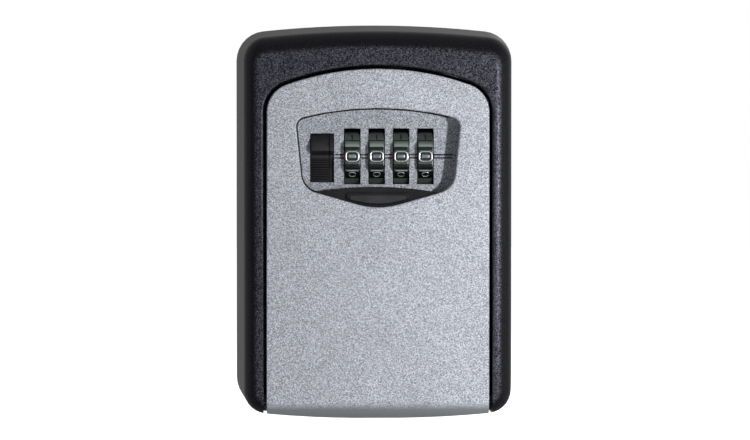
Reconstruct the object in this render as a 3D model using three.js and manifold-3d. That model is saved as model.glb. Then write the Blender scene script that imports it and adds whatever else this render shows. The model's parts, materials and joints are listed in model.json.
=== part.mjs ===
// Wall-mounted key safe with four number dials, an open lever and a drop-down door.
// Millimetres. X to the right, Y into the wall, Z up. The origin is the centre of the wall face.

import * as THREE from 'three';
import { mergeVertices } from 'three/addons/utils/BufferGeometryUtils.js';
import Module from 'manifold-3d';

const wasm = await Module();
wasm.setup();

// Clearances
const seat = 0.3;        // between two pieces that lie or slide on each other
const doorGap = 0.95;     // round the door, in the housing's front
const sweep = 0.6;       // between a turning piece and what it passes

// Housing
const width = 83;
const height = 116.6;
const cornerRadius = 9;
const endArch = 320;         // radius of the arched top and bottom edges
const taper = 2;             // how far the sides and the top come in from the wall to the shoulder
const shoulderWidth = 3.1;   // how far the rounded front shoulder comes in at the sides and the bottom
const browShoulder = 4.3;    // the same at the top
const shoulderDepth = 6;
const shoulderSweep = 70;    // degrees that the shoulder's curve turns through
const sideWall = 2.5;
const backWall = 2.5;
const keyRoom = 4.5;         // between the inner cover and the back wall
const frontWall = 3;
const jambWall = 2;
const jambDepth = 8.7;       // from the front face to the jamb's rear edge
const sillDepth = 18.5;      // front to back length of the bottom wall
const railWidth = 7.85;      // front face beside the door opening
const brow = 12.2;           // front face above the door opening
const bossHeight = 1.2;
const bossRadius = 5.5;
const wallHoleRadius = 2.4;
const wallHoleX = 22;
const wallHoleHigh = 38;
const wallHoleLow = -35;

// Door
const doorArch = 80;
const doorCorner = 8.5;
const doorSkin = 1.5;
const doorFlange = 1.5;
const flangeDepth = 6.7;      // top flange, from the front face
const sideFlangeDepth = 13;   // side flanges, from the front face
const sideFlangeDrop = 15;    // from the door's top down to the deep part of a side flange
const hingeRise = 6.3;        // hinge axis above the housing's lowest point
const lipRadius = 6;          // rounded bottom of the door, round the hinge axis
const lipWall = 1.5;
const knuckleLength = 9;
const pinRadius = 1.5;
const pinSocket = 3.4;        // how far the pin goes into each side of the housing
const pinBossRadius = 4;

// Recess in the door
const recessDepth = 5.5;
const dialDrop = 25.8;        // from the door's top down to the dials' axis
const recessTop = 14.3;       // this and the next heights are counted from the dials' axis
const recessArch = 92;
const recessTopHalf = 24.35;
const recessTopCorner = 3;
const recessLow = -9.5;
const recessLowHalf = 22.2;
const recessLowCorner = 6;
const recessPoint = -15.8;
const recessPointRadius = 22;

// Dials
const dialCount = 4;
const dialPitch = 7.2;
const firstDialX = -7.45;
const dialRadius = 10;
const dialWidth = 4.4;
const dialFaces = 10;
const ridgeHeight = 0.45;     // of a grip ridge over the middle of a face
const flatHalfAngle = 8.5;
const dialProud = 2.1;        // how far a dial stands out of the recess floor
const windowSide = 0.25;      // beside a dial in its window
const windowEnd = 0.57;       // above and below a dial in its window

// Dial plate
const plateThickness = 1.5;
const plateTop = 18.2;        // above the dials' axis
const plateBottom = -44.8;
const frameWidth = 1.5;
const grooveWidth = 0.45;
const grooveDepth = 0.3;
const grooveSpacing = 0.95;
const cheekWidth = 1;
const cheekHeight = 8.5;
const cheekReach = 3.1;       // behind the shaft's axis

// Shaft and code sleeves
const shaftRadius = 1.5;
const sleeveWall = 1.6;
const camRadius = 6;
const camWidth = 1;
const gateWidth = 1.6;
const gateDepth = 2;
const keyWidth = 0.8;
const keyHeight = 0.5;
const resetTravel = 1.2;
const code = [3, 7, 1, 5];
const clipWidth = 0.6;
const clipGrip = 0.5;
const clipRadius = 2.6;
const clipMouth = 0.8;        // share of the clip's hole that is open at the rear

// Open lever and latch
const slotX = -16.35;
const slotWidth = 7.1;
const slotTop = 6.8;          // above the dials' axis
const slotBottom = -7.7;
const leverTravel = 4;
const leverBase = 1.5;
const leverCrest = 1.7;       // how far the lever's ledge stands out of the recess floor
const ledgeTop = 3;           // above the dials' axis
const ledgeBottom = 1.4;
const ribCount = 8;
const ribPitch = 0.7;
const ribDepth = 0.35;
const latchThickness = 1.3;
const legWidth = 3.8;
const bridgeHeight = 5;
const tongueHalf = 7;
const footLength = 6;
const footDrop = 14;          // below the dials' axis
const rivetRadius = 1;
const rivetHead = 1.8;
const rivetHeadHeight = 0.7;
const rivetDepth = 0.6;

// Springs
const wire = 0.5;
const latchCoil = 1.7;
const latchTurns = 8;
const clutchCoil = 2.2;
const clutchTurns = 4;
const clutchLength = 6;
const leafThickness = 0.4;
const leafWidth = 3.6;
const leafReach = 6.5;        // from the dials' rims down to the spring's fixed end

// Inner cover and screws
const coverWall = 1.5;
const coverTop = 14.2;        // above the dials' axis
const coverBottom = -28.8;
const coverCorner = 4;
const coverInset = 2.8;       // from the door's side to the cover's side
const columnRadius = 2;
const screwInset = 4.9;       // from the door's side to the screws
const screwRadius = 1;
const screwHead = 1.9;
const screwHeadHeight = 1.3;
const crossLength = 0.6;      // of the head's radius
const crossWidth = 0.3;       // of the shank's radius
const plateScrewTop = 16.6;   // above the dials' axis
const plateScrewBottom = -39;
const coverScrewTop = 10.4;
const coverScrewBottom = -24.8;
const screwBite = 2.6;

// Shutter
const shutterThickness = 1.2;
const shutterTravel = 23.6;
const shutterArch = 100;
const shutterLap = 3.8;       // how far the raised shutter still reaches below the recess
const padHalf = 9.7;
const padTop = -11.1;
const padHeight = 1.1;
const stopHeight = 1.5;

// Reset slider
const sliderWidth = 1.2;
const sliderHeight = 7.6;
const tabHeight = 3.6;
const tabLength = 1.6;

// Places worked out from the sizes above
const lockDepth = recessDepth - dialProud + 2 * dialRadius + sweep + 2 * coverWall;
const depth = lockDepth + keyRoom + backWall;
const front = -depth;
const hingeY = front + lipRadius;
const hingeZ = hingeRise - height / 2;
const openingHalf = width / 2 - railWidth;
const openingTop = height / 2 - brow;
const doorHalf = openingHalf - doorGap;
const doorTop = openingTop - doorGap;
const skinBack = front + doorSkin;
const floorY = front + recessDepth;
const plateBack = floorY + plateThickness;
const axisY = floorY - dialProud + dialRadius;
const axisZ = doorTop - dialDrop;
const leverBack = plateBack + seat + leverBase;
const latchFront = leverBack + seat;
const latchBack = latchFront + latchThickness;
const coverFront = latchBack + seat;
const coverFace = axisY + dialRadius + sweep + coverWall;
const coverBack = coverFace + coverWall;
const coverHalf = doorHalf - coverInset;
const screwX = doorHalf - screwInset;
const screwHole = screwRadius + seat;
const shutterFront = skinBack + seat;
const shutterBack = shutterFront + shutterThickness;
const shutterHalf = screwX - columnRadius - seat;
const shutterTop = axisZ + recessTop + seat - shutterTravel;
const shutterBottom = axisZ + recessPoint - shutterTravel - shutterLap;
const legHalf = screwX - columnRadius - seat;
const lastDialX = firstDialX + dialPitch * (dialCount - 1);
const dialFlat = dialRadius - ridgeHeight;
const sunk = dialRadius - dialProud - plateThickness;
const windowHeight = 2 * (Math.sqrt(dialRadius ** 2 - sunk ** 2) + windowEnd);
const windowWidth = dialWidth + 2 * windowSide;
const dialXs = Array.from({ length: dialCount }, (_, i) => firstDialX + dialPitch * i);
const hubRadius = shaftRadius + seat + sleeveWall;
const hubStart = -dialWidth / 2 - sweep - seat / 2;
const hubEnd = hubStart + dialPitch - seat;
const camStart = dialWidth / 2 + seat;
const leftCollar = firstDialX + hubStart - seat;
const leftCheek = leftCollar - clipWidth - seat;
const rightClip = lastDialX + hubEnd + seat;
const rightCheek = rightClip + clipWidth + resetTravel + seat;
const springStart = leftCheek - cheekWidth - seat;
const leftClip = springStart - clutchLength - seat - clipWidth;
const shaftStart = leftClip - 2 * seat;
const shaftEnd = rightCheek + cheekWidth + sweep;
const camClear = camRadius + seat + leverTravel;
const legInner = legHalf - legWidth;
const footTop = axisZ - footDrop;
const coverFloor = axisZ + coverBottom + coverWall;
const leverHalf = slotWidth / 2 - seat;
const shaftHole = shaftRadius + seat;
const leafRivetXs = [firstDialX + dialPitch / 2, lastDialX - dialPitch / 2];
const leafLow = axisZ - dialRadius - leafReach;
const leafRivetZ = leafLow + leafWidth / 4;
const leverRivetZs = [axisZ + slotTop + rivetHead, axisZ + slotBottom + rivetHead / 2];
const sliderX = shaftStart - seat - sliderWidth;

const wallHoles = onBothSides(wallHoleX, wallHoleHigh, wallHoleLow);
const plateScrews = onBothSides(screwX, axisZ + plateScrewTop, axisZ + plateScrewBottom);
const coverScrews = onBothSides(screwX, axisZ + coverScrewTop, axisZ + coverScrewBottom);

const degrees = Math.PI / 180;
const sides = [-1, 1];

// Places at one distance left and right of the middle, at two heights.
function onBothSides(x, high, low) {
  return [[-x, high], [-x, low], [x, high], [x, low]];
}

// From the nearer to the farther distance on one side of the middle, as a left and a right limit.
function reach(side, near, far) {
  return side < 0 ? [-far, -near] : [near, far];
}

function arc(cx, cz, radius, from, to, steps) {
  return Array.from({ length: steps + 1 }, (_, i) => {
    const angle = from + (to - from) * i / steps;
    return new THREE.Vector2(cx + radius * Math.cos(angle), cz + radius * Math.sin(angle));
  });
}

function withoutRepeats(points) {
  return points.filter((point, i) => point.distanceTo(points[(i + 1) % points.length]) > 1e-5);
}

// Where a corner circle touches an arch and a straight side: its height over the arch's centre and its angle.
function cornerOnArch(half, arch, corner) {
  const rise = Math.sqrt((arch - corner) ** 2 - (half - corner) ** 2);
  return { rise, angle: Math.atan2(rise, half - corner) };
}

// Outline with straight sides, arched ends and round corners, counter-clockwise from the right side.
function archedOutline(panel) {
  const { half, top, topArch, bottom, bottomArch, corner, footCorner } = panel;
  const head = cornerOnArch(half, topArch, corner);
  const foot = cornerOnArch(half, bottomArch, footCorner);
  const headX = half - corner;
  const headZ = top - topArch + head.rise;
  const footX = half - footCorner;
  const footZ = bottom + bottomArch - foot.rise;
  return withoutRepeats([
    ...arc(headX, headZ, corner, 0, head.angle, 7),
    ...arc(0, top - topArch, topArch, head.angle, Math.PI - head.angle, 12),
    ...arc(-headX, headZ, corner, Math.PI - head.angle, Math.PI, 7),
    ...arc(-footX, footZ, footCorner, Math.PI, Math.PI + foot.angle, 7),
    ...arc(0, bottom + bottomArch, bottomArch, Math.PI + foot.angle, 2 * Math.PI - foot.angle, 10),
    ...arc(footX, footZ, footCorner, 2 * Math.PI - foot.angle, 2 * Math.PI, 7),
  ]);
}

// The same panel drawn in by a distance all round, or let out by a negative one.
function drawnIn(panel, distance) {
  return {
    half: panel.half - distance,
    top: panel.top - distance,
    topArch: panel.topArch - distance,
    bottom: panel.bottom + distance,
    bottomArch: panel.bottomArch - distance,
    corner: panel.corner - distance,
    footCorner: Math.max(panel.footCorner - distance, seat),
  };
}

// Polygon whose corners are [x, z, radius], with each corner rounded.
function roundedOutline(corners, steps = 6) {
  const points = corners.flatMap(([x, z, radius], i) => {
    const at = new THREE.Vector2(x, z);
    if (!radius) return [at];
    const [px, pz] = corners[(i + corners.length - 1) % corners.length];
    const [nx, nz] = corners[(i + 1) % corners.length];
    const back = new THREE.Vector2(px, pz).sub(at).normalize();
    const on = new THREE.Vector2(nx, nz).sub(at).normalize();
    const half = Math.acos(back.dot(on)) / 2;
    const centre = at.clone().addScaledVector(back.clone().add(on).normalize(), radius / Math.sin(half));
    const touch = radius / Math.tan(half);
    const from = at.clone().addScaledVector(back, touch).sub(centre).angle();
    const to = at.clone().addScaledVector(on, touch).sub(centre).angle();
    const turn = Math.atan2(Math.sin(to - from), Math.cos(to - from));
    return arc(centre.x, centre.y, radius, from, from + turn, steps);
  });
  return withoutRepeats(points);
}

function rectangle(x0, x1, z0, z1, radius = 0) {
  return roundedOutline([[x1, z0, radius], [x1, z1, radius], [x0, z1, radius], [x0, z0, radius]]);
}

// Turns a closed three.js geometry into a solid that can be joined and cut.
function solid(geometry) {
  const bare = geometry.clone();
  for (const name of Object.keys(bare.attributes)) {
    if (name !== 'position') bare.deleteAttribute(name);
  }
  const merged = mergeVertices(bare, 1e-4);
  return new wasm.Manifold(new wasm.Mesh({
    numProp: 3,
    vertProperties: new Float32Array(merged.attributes.position.array),
    triVerts: new Uint32Array(merged.index.array),
  }));
}

function block(x0, x1, y0, y1, z0, z1) {
  const box = new THREE.BoxGeometry(x1 - x0, y1 - y0, z1 - z0);
  return solid(box.translate((x0 + x1) / 2, (y0 + y1) / 2, (z0 + z1) / 2));
}

// A front-view outline made solid from its rear face to its front face.
function plate(points, rear, face) {
  const shape = new THREE.Shape(points);
  const slab = new THREE.ExtrudeGeometry(shape, { depth: rear - face, bevelEnabled: false });
  return solid(slab.rotateX(Math.PI / 2).translate(0, rear, 0));
}

// A side-view profile of [y, z] points, made solid from x0 to x1.
function bar(profile, x0, x1) {
  const shape = new THREE.Shape(profile.map(([y, z]) => new THREE.Vector2(y, z)));
  const slab = new THREE.ExtrudeGeometry(shape, { depth: x1 - x0, bevelEnabled: false });
  const axes = new THREE.Matrix4().makeBasis(
    new THREE.Vector3(0, 1, 0), new THREE.Vector3(0, 0, 1), new THREE.Vector3(1, 0, 0));
  return solid(slab.applyMatrix4(axes).translate(x0, 0, 0));
}

function rodX(y, z, radius, x0, x1, sides = 20) {
  const rod = new THREE.CylinderGeometry(radius, radius, x1 - x0, sides);
  return solid(rod.rotateZ(Math.PI / 2).translate((x0 + x1) / 2, y, z));
}

function rodY(x, z, radius, y0, y1, sides = 16) {
  const rod = new THREE.CylinderGeometry(radius, radius, y1 - y0, sides);
  return solid(rod.translate(x, (y0 + y1) / 2, 0).translate(0, 0, z));
}

// Skin through outlines of equal length, ordered from the rear to the front.
function loft(sections) {
  const count = sections[0].points.length;
  const positions = sections.flatMap(({ y, points }) => points.flatMap((p) => [p.x, y, p.y]));
  const index = [];
  for (let s = 0; s < sections.length - 1; s++) {
    for (let i = 0; i < count; i++) {
      const a = s * count + i;
      const b = s * count + (i + 1) % count;
      index.push(a, b, b + count, a, b + count, a + count);
    }
  }
  const caps = THREE.ShapeUtils.triangulateShape(sections[0].points, []);
  const last = (sections.length - 1) * count;
  for (const [a, b, c] of caps) index.push(a, c, b, last + a, last + b, last + c);
  const geometry = new THREE.BufferGeometry();
  geometry.setAttribute('position', new THREE.Float32BufferAttribute(positions, 3));
  geometry.setIndex(index);
  return solid(geometry);
}

function join(first, ...others) {
  return others.reduce((whole, piece) => whole.add(piece), first);
}

function cut(first, ...others) {
  return others.reduce((whole, piece) => whole.subtract(piece), first);
}

const housingPanel = {
  half: width / 2,
  top: height / 2,
  topArch: endArch,
  bottom: -height / 2,
  bottomArch: endArch,
  corner: cornerRadius,
  footCorner: cornerRadius,
};

const doorPanel = {
  half: doorHalf,
  top: doorTop,
  topArch: doorArch,
  bottom: hingeZ - lipRadius,
  bottomArch: endArch,
  corner: doorCorner,
  footCorner: lipWall,
};

// The door's outline let out or drawn in, and carried on past the bottom of the housing.
function openingOutline(distance) {
  return archedOutline({ ...drawnIn(doorPanel, distance), bottom: -height });
}

function recessOutline(grow) {
  const thirds = [2, 1, 0, -1, -2].map((third) => third * recessTopHalf / 3);
  const arch = thirds.map((x) => [x, axisZ + recessTop + grow - x * x / (2 * recessArch), 0]);
  const shoulder = recessTop - recessTopHalf ** 2 / (2 * recessArch);
  const topHalf = recessTopHalf + grow;
  const lowHalf = recessLowHalf + grow;
  return roundedOutline([
    [lowHalf, axisZ + recessLow - grow, recessLowCorner + grow],
    [topHalf, axisZ + shoulder + grow, recessTopCorner + grow],
    ...arch,
    [-topHalf, axisZ + shoulder + grow, recessTopCorner + grow],
    [-lowHalf, axisZ + recessLow - grow, recessLowCorner + grow],
    [0, axisZ + recessPoint - grow, recessPointRadius],
  ]);
}

// The housing's outline at a share of the way from the wall to the shoulder, and of the way round the shoulder.
function taperedPanel(forward, round) {
  const drawn = taper * forward;
  return {
    ...drawnIn(housingPanel, drawn + shoulderWidth * round),
    top: housingPanel.top - drawn - browShoulder * round,
    bottom: housingPanel.bottom + shoulderWidth * round,
  };
}

function housing() {
  const steps = 5;
  const straight = -front - shoulderDepth;
  const shoulder = Array.from({ length: steps + 1 }, (_, i) => {
    const angle = shoulderSweep * degrees * i / steps;
    const out = Math.sin(angle) / Math.sin(shoulderSweep * degrees);
    const inward = (1 - Math.cos(angle)) / (1 - Math.cos(shoulderSweep * degrees));
    return { y: front + shoulderDepth * (1 - out), points: archedOutline(taperedPanel(1, inward)) };
  });
  const outside = loft([{ y: 0, points: archedOutline(housingPanel) }, ...shoulder]);
  const cavity = loft([-backWall, front + frontWall].map((y) => (
    { y, points: archedOutline(drawnIn(taperedPanel(-y / straight, 0), sideWall)) })));
  const jamb = plate(openingOutline(-doorGap - jambWall), front + jambDepth, front + frontWall - seat);
  const pinBosses = sides.map((side) =>
    rodX(hingeY, hingeZ, pinBossRadius, ...reach(side, openingHalf, openingHalf + pinSocket + sideWall)));
  const screwBosses = wallHoles.map(([x, z]) =>
    rodY(x, z, bossRadius, -backWall - bossHeight, -backWall / 2, 20));
  const pinReach = openingHalf + pinSocket + seat;
  const screwHoles = wallHoles.map(([x, z]) =>
    rodY(x, z, wallHoleRadius, -backWall - 2 * bossHeight, 1));
  const inside = [jamb, ...pinBosses].map((piece) => piece.intersect(outside));
  return cut(
    join(cut(outside, cavity), ...inside, ...screwBosses),
    plate(openingOutline(-doorGap), front + jambDepth + 1, front - 1),
    block(-openingHalf, openingHalf, front - 1, -sillDepth, -height, hingeZ + lipRadius),
    rodX(hingeY, hingeZ, pinRadius + seat, -pinReach, pinReach),
    ...screwHoles,
  );
}

function hingePin() {
  const reach = openingHalf + pinSocket;
  return rodX(hingeY, hingeZ, pinRadius, -reach, reach);
}

function doorShell() {
  const skin = plate(archedOutline(doorPanel), skinBack, front);
  const rim = cut(
    plate(archedOutline(doorPanel), front + flangeDepth, front),
    plate(openingOutline(doorFlange), front + flangeDepth + 1, skinBack),
  );
  const flangeTop = doorTop - sideFlangeDrop;
  const flanges = sides.map((side) => block(...reach(side, doorHalf - doorFlange, doorHalf),
    front + doorSkin / 2, front + sideFlangeDepth, hingeZ, flangeTop));
  const barrel = rodX(hingeY, hingeZ, lipRadius, -doorHalf, doorHalf, 40);
  const inside = doorHalf - knuckleLength;
  const hollow = join(
    rodX(hingeY, hingeZ, lipRadius - lipWall, -inside, inside, 40),
    block(-inside, inside, hingeY, hingeY + 2 * lipRadius, hingeZ - 2 * lipRadius, hingeZ + 2 * lipRadius),
    block(-inside, inside, skinBack, hingeY + lipRadius, hingeZ, hingeZ + 2 * lipRadius),
  );
  const trim = archedOutline({ ...doorPanel, footCorner: seat });
  const bottomTrim = plate(trim, hingeY + 2 * lipRadius, front - 1);
  const below = block(-width, width, front - 1, 0, -height, hingeZ);
  const lip = cut(barrel, hollow).intersect(bottomTrim);
  const posts = plateScrews.map(([x, z]) => rodY(x, z, columnRadius, front + doorSkin / 2, floorY - seat));
  const stopTop = shutterBottom - seat;
  const stop = block(-shutterHalf, shutterHalf, front + doorSkin / 2, shutterBack,
    stopTop - stopHeight, stopTop);
  const screwHoles = plateScrews.map(([x, z]) => rodY(x, z, screwHole, floorY - screwBite - seat, 0));
  return cut(
    join(cut(join(skin, rim), below), ...flanges, lip, ...posts, stop),
    plate(recessOutline(0), skinBack + 1, front - 1),
    rodX(hingeY, hingeZ, pinRadius + seat, -doorHalf - 1, doorHalf + 1),
    ...screwHoles,
  );
}

function dialPlate() {
  const low = axisZ + plateBottom;
  const panel = openingOutline(doorFlange + seat);
  const band = block(-width, width, floorY, plateBack, low, axisZ + plateTop);
  const base = plate(panel, plateBack, floorY).intersect(band);
  const railFace = shutterBack + seat;
  const frame = cut(
    plate(recessOutline(frameWidth), floorY + plateThickness / 2, railFace),
    plate(recessOutline(0), plateBack, front),
    block(-width, width, front, floorY, low, axisZ + recessLow),
  );
  const rails = sides.map((side) => block(...reach(side, recessLowHalf, recessLowHalf + frameWidth),
    railFace, floorY + plateThickness / 2, low, axisZ + recessLow + recessLowCorner / 3));
  const cheeks = [leftCheek, rightCheek + cheekWidth].map((x) =>
    block(x - cheekWidth, x, floorY + plateThickness / 2, axisY + cheekReach,
      axisZ - cheekHeight / 2, axisZ + cheekHeight / 2));
  const posts = coverScrews.map(([x, z]) =>
    rodY(x, z, columnRadius, floorY + plateThickness / 2, coverFront - seat));
  const windows = dialXs.map((x) => block(x - windowWidth / 2, x + windowWidth / 2, front, plateBack + 1,
    axisZ - windowHeight / 2, axisZ + windowHeight / 2));
  const slot = block(slotX - slotWidth / 2, slotX + slotWidth / 2, front, plateBack + 1,
    axisZ + slotBottom, axisZ + slotTop);
  const grooves = sides.map((side) => {
    const z = axisZ + side * grooveSpacing / 2;
    return block(slotX, recessLowHalf, front, floorY + grooveDepth, z - grooveWidth / 2, z + grooveWidth / 2);
  });
  const frontHoles = plateScrews.map(([x, z]) => rodY(x, z, screwHole, front, 0));
  const rearHoles = coverScrews.map(([x, z]) => rodY(x, z, screwHole, coverFront - screwBite - 2 * seat, 0));
  const rivetHoles = leafRivetXs.map((x) =>
    rodY(x, leafRivetZ, rivetRadius + seat, plateBack - rivetDepth - seat, 0));
  return cut(
    join(base, frame, ...rails, ...cheeks, ...posts),
    ...windows, slot, ...grooves, ...frontHoles, ...rearHoles, ...rivetHoles,
    rodX(axisY, axisZ, shaftHole, leftCheek - cheekWidth - 1, rightCheek + cheekWidth + 1),
  );
}

// A dial's rim seen from the side: flat faces with a grip ridge between each two.
function dial(x) {
  const outline = [];
  for (let face = 0; face < dialFaces; face++) {
    const middle = 2 * Math.PI * face / dialFaces;
    const edge = dialFlat / Math.cos(flatHalfAngle * degrees);
    for (const turn of sides) {
      const angle = middle + turn * flatHalfAngle * degrees;
      outline.push([axisY - edge * Math.cos(angle), axisZ - edge * Math.sin(angle)]);
    }
    const ridge = middle + Math.PI / dialFaces;
    outline.push([axisY - dialRadius * Math.cos(ridge), axisZ - dialRadius * Math.sin(ridge)]);
  }
  const left = x - dialWidth / 2;
  const right = x + dialWidth / 2;
  const bore = hubRadius + seat;
  const keyway = block(left - 1, right + 1, axisY - keyWidth / 2 - seat, axisY + keyWidth / 2 + seat,
    axisZ, axisZ + bore + keyHeight);
  return cut(bar(outline, left, right), rodX(axisY, axisZ, bore, left - 1, right + 1, 24), keyway);
}

// A code sleeve: its hub runs through the dial, and its cam stands beside the dial with one gate.
function sleeve(x, digit) {
  const hub = rodX(axisY, axisZ, hubRadius, x + hubStart, x + hubEnd, 24);
  const cam = rodX(axisY, axisZ, camRadius, x + camStart, x + camStart + camWidth, 30);
  const key = block(x - dialWidth / 2, x + camStart, axisY - keyWidth / 2, axisY + keyWidth / 2,
    axisZ, axisZ + hubRadius + keyHeight);
  const bore = rodX(axisY, axisZ, shaftHole, x + hubStart - 1, x + hubEnd + 1);
  const turn = 2 * Math.PI * digit / dialFaces;
  const gate = new THREE.BoxGeometry(camWidth + 1, gateWidth, gateDepth + 1);
  gate.translate(0, 0, camRadius - gateDepth / 2 + 0.5).rotateX(turn);
  gate.translate(x + camStart + camWidth / 2, axisY, axisZ);
  return cut(join(hub, cam, key), bore, solid(gate));
}

// The shaft with a collar on its left and a groove for each clip.
function dialShaft() {
  const ring = (x) => cut(
    rodX(axisY, axisZ, shaftRadius + 1, x - seat, x + clipWidth + seat),
    rodX(axisY, axisZ, shaftRadius - clipGrip, x - 1, x + clipWidth + 1),
  );
  return cut(
    join(
      rodX(axisY, axisZ, shaftRadius, shaftStart, shaftEnd),
      rodX(axisY, axisZ, clipRadius, leftCollar - clipWidth, leftCollar),
    ),
    ring(leftClip),
    ring(rightClip),
  );
}

// A retaining clip: a ring that is open on its rear side.
function shaftClip(x) {
  const hole = shaftRadius - clipGrip + seat;
  const mouth = hole * clipMouth;
  return cut(
    rodX(axisY, axisZ, clipRadius, x, x + clipWidth),
    rodX(axisY, axisZ, hole, x - 1, x + clipWidth + 1),
    block(x - 1, x + clipWidth + 1, axisY, axisY + 2 * clipRadius, axisZ - mouth, axisZ + mouth),
  );
}

function openLever() {
  const baseFront = plateBack + seat;
  const crest = floorY - leverCrest;
  const top = axisZ + slotTop - seat;
  const below = axisZ + slotBottom + leverTravel + seat;
  const baseTop = axisZ + slotTop + leverTravel + seat;
  const baseBottom = axisZ + slotBottom - seat;
  const base = block(slotX - slotWidth / 2 - sweep, slotX + slotWidth / 2 - seat / 2, baseFront, leverBack,
    baseBottom, baseTop);
  const thumb = bar([
    [leverBack, top],
    [floorY + seat, top],
    [crest, axisZ + ledgeTop],
    [crest, axisZ + ledgeBottom],
    [floorY + plateThickness / 2, axisZ + ledgeBottom - plateThickness],
    [baseFront, below],
    [leverBack, below],
  ], slotX - leverHalf, slotX + leverHalf);
  const ribTop = axisZ + ledgeBottom - plateThickness - ribPitch;
  const grooves = Array.from({ length: ribCount }, (_, i) => {
    const z = ribTop - ribPitch * i;
    return block(slotX - leverHalf, slotX + leverHalf - sweep, front, baseFront + ribDepth,
      z - ribPitch / 2, z);
  });
  const rivetHoles = leverRivetZs.map((z) =>
    rodY(slotX, z, rivetRadius + seat, leverBack - rivetDepth - seat, 0));
  return cut(join(base, thumb), ...grooves, ...rivetHoles);
}

function latchPlate() {
  const bridgeBottom = axisZ + dialRadius + leverTravel + seat;
  const bridgeTop = bridgeBottom + bridgeHeight;
  const armRight = slotX + slotWidth / 2 - seat / 2;
  const armBottom = axisZ + slotBottom - seat;
  const profile = [
    [-legHalf, footTop], [-legInner, footTop], [-legInner, armBottom], [armRight, armBottom],
    [armRight, bridgeBottom], [legInner, bridgeBottom], [legInner, footTop], [legHalf, footTop],
    [legHalf, bridgeTop], [tongueHalf, bridgeTop], [tongueHalf, openingTop - seat],
    [-tongueHalf, openingTop - seat], [-tongueHalf, bridgeTop], [-legHalf, bridgeTop],
  ];
  const sheet = plate(profile.map(([x, z]) => new THREE.Vector2(x, z)), latchBack, latchFront);
  const feet = sides.map((side) => block(...reach(side, legInner, legHalf),
    latchFront, latchFront + footLength, footTop, footTop + latchThickness));
  const fences = dialXs.flatMap((x) => {
    const middle = x + camStart + camWidth / 2;
    const [x0, x1] = [middle - camWidth / 2, middle + camWidth / 2];
    const bottom = axisZ + camClear;
    return [
      block(x0, x1, latchFront, latchBack, bottom, bridgeBottom + seat),
      block(x0, x1, latchFront, axisY + camWidth, bottom, bottom + latchThickness),
    ];
  });
  const rivetHoles = leverRivetZs.map((z) =>
    rodY(slotX, z, rivetRadius + seat, latchFront - 1, latchBack + 1));
  return cut(join(sheet, ...feet, ...fences), ...rivetHoles);
}

// A rivet with its head at the rear and its shank towards the front.
function rivet(x, z, headFront, shankFront) {
  return join(
    rodY(x, z, rivetHead, headFront, headFront + rivetHeadHeight),
    rodY(x, z, rivetRadius, shankFront, headFront + rivetHeadHeight / 2),
  );
}

// A screw with its head at the rear, a cross slot in it, and its shank towards the front.
function screw(x, z, headFront, shankFront) {
  const rear = headFront + screwHeadHeight;
  const arm = screwHead * crossLength;
  const blade = screwRadius * crossWidth;
  return cut(
    join(rodY(x, z, screwHead, headFront, rear), rodY(x, z, screwRadius, shankFront, headFront + seat)),
    block(x - arm, x + arm, rear - screwHeadHeight / 2, rear + 1, z - blade, z + blade),
    block(x - blade, x + blade, rear - screwHeadHeight / 2, rear + 1, z - arm, z + arm),
  );
}

function detentSpring() {
  const face = plateBack + seat;
  const touch = axisZ - dialRadius - seat;
  const left = firstDialX - dialWidth / 2;
  const right = lastDialX + dialWidth / 2;
  const base = block(left, right, face, face + leafThickness, leafLow - 1, leafLow + leafWidth);
  const rearFace = axisY + leafThickness;
  const finger = [
    [face, leafLow + leafWidth - 1],
    [face + leafThickness, leafLow + leafWidth - 1],
    [face + leafThickness, leafLow + leafWidth],
    [axisY - leafWidth / 2, touch - 2 * leafThickness],
    [rearFace, touch - leafThickness],
    [rearFace + leafWidth / 2, touch - 4 * leafThickness],
    [rearFace + leafWidth / 2, touch - 3 * leafThickness],
    [axisY, touch],
    [axisY - leafWidth / 2, touch - leafThickness],
    [face, leafLow + leafWidth + leafThickness],
  ];
  const fingers = dialXs.map((x) => bar(finger, x - leafWidth / 2, x + leafWidth / 2));
  const holes = leafRivetXs.map((x) => rodY(x, leafRivetZ, rivetRadius + seat, face - 1, face + 1));
  return cut(join(base, ...fingers), ...holes);
}

// A coil of round wire standing along Z from the origin, and the least gap between its turns.
function coil(radius, turns, length) {
  const perTurn = 8;
  const around = 5;
  const steps = turns * perTurn;
  const rise = length - wire;
  const slope = Math.atan2(rise / turns, 2 * Math.PI * radius);
  const positions = [];
  const middles = [];
  for (let i = 0; i <= steps; i++) {
    const angle = 2 * Math.PI * i / perTurn;
    const outward = new THREE.Vector3(Math.cos(angle), Math.sin(angle), 0);
    const along = new THREE.Vector3(-Math.sin(angle), Math.cos(angle), Math.tan(slope)).normalize();
    const across = new THREE.Vector3().crossVectors(along, outward);
    const middle = outward.clone().multiplyScalar(radius).setZ(wire / 2 + rise * i / steps);
    middles.push(middle);
    for (let j = 0; j < around; j++) {
      const turn = 2 * Math.PI * j / around;
      const point = middle.clone()
        .addScaledVector(outward, wire / 2 * Math.cos(turn))
        .addScaledVector(across, wire / 2 * Math.sin(turn));
      positions.push(point.x, point.y, point.z);
    }
  }
  const index = [];
  for (let i = 0; i < steps; i++) {
    for (let j = 0; j < around; j++) {
      const a = i * around + j;
      const b = i * around + (j + 1) % around;
      index.push(a, b, b + around, a, b + around, a + around);
    }
  }
  const last = steps * around;
  for (let j = 1; j < around - 1; j++) index.push(0, j + 1, j, last, last + j, last + j + 1);
  const geometry = new THREE.BufferGeometry();
  geometry.setAttribute('position', new THREE.Float32BufferAttribute(positions, 3));
  geometry.setIndex(index);
  const apart = perTurn / 2;
  let gap = Infinity;
  middles.forEach((a, i) => middles.slice(i + apart).forEach((b) => {
    gap = Math.min(gap, a.distanceTo(b) - wire);
  }));
  return { geometry, gap };
}

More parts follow.
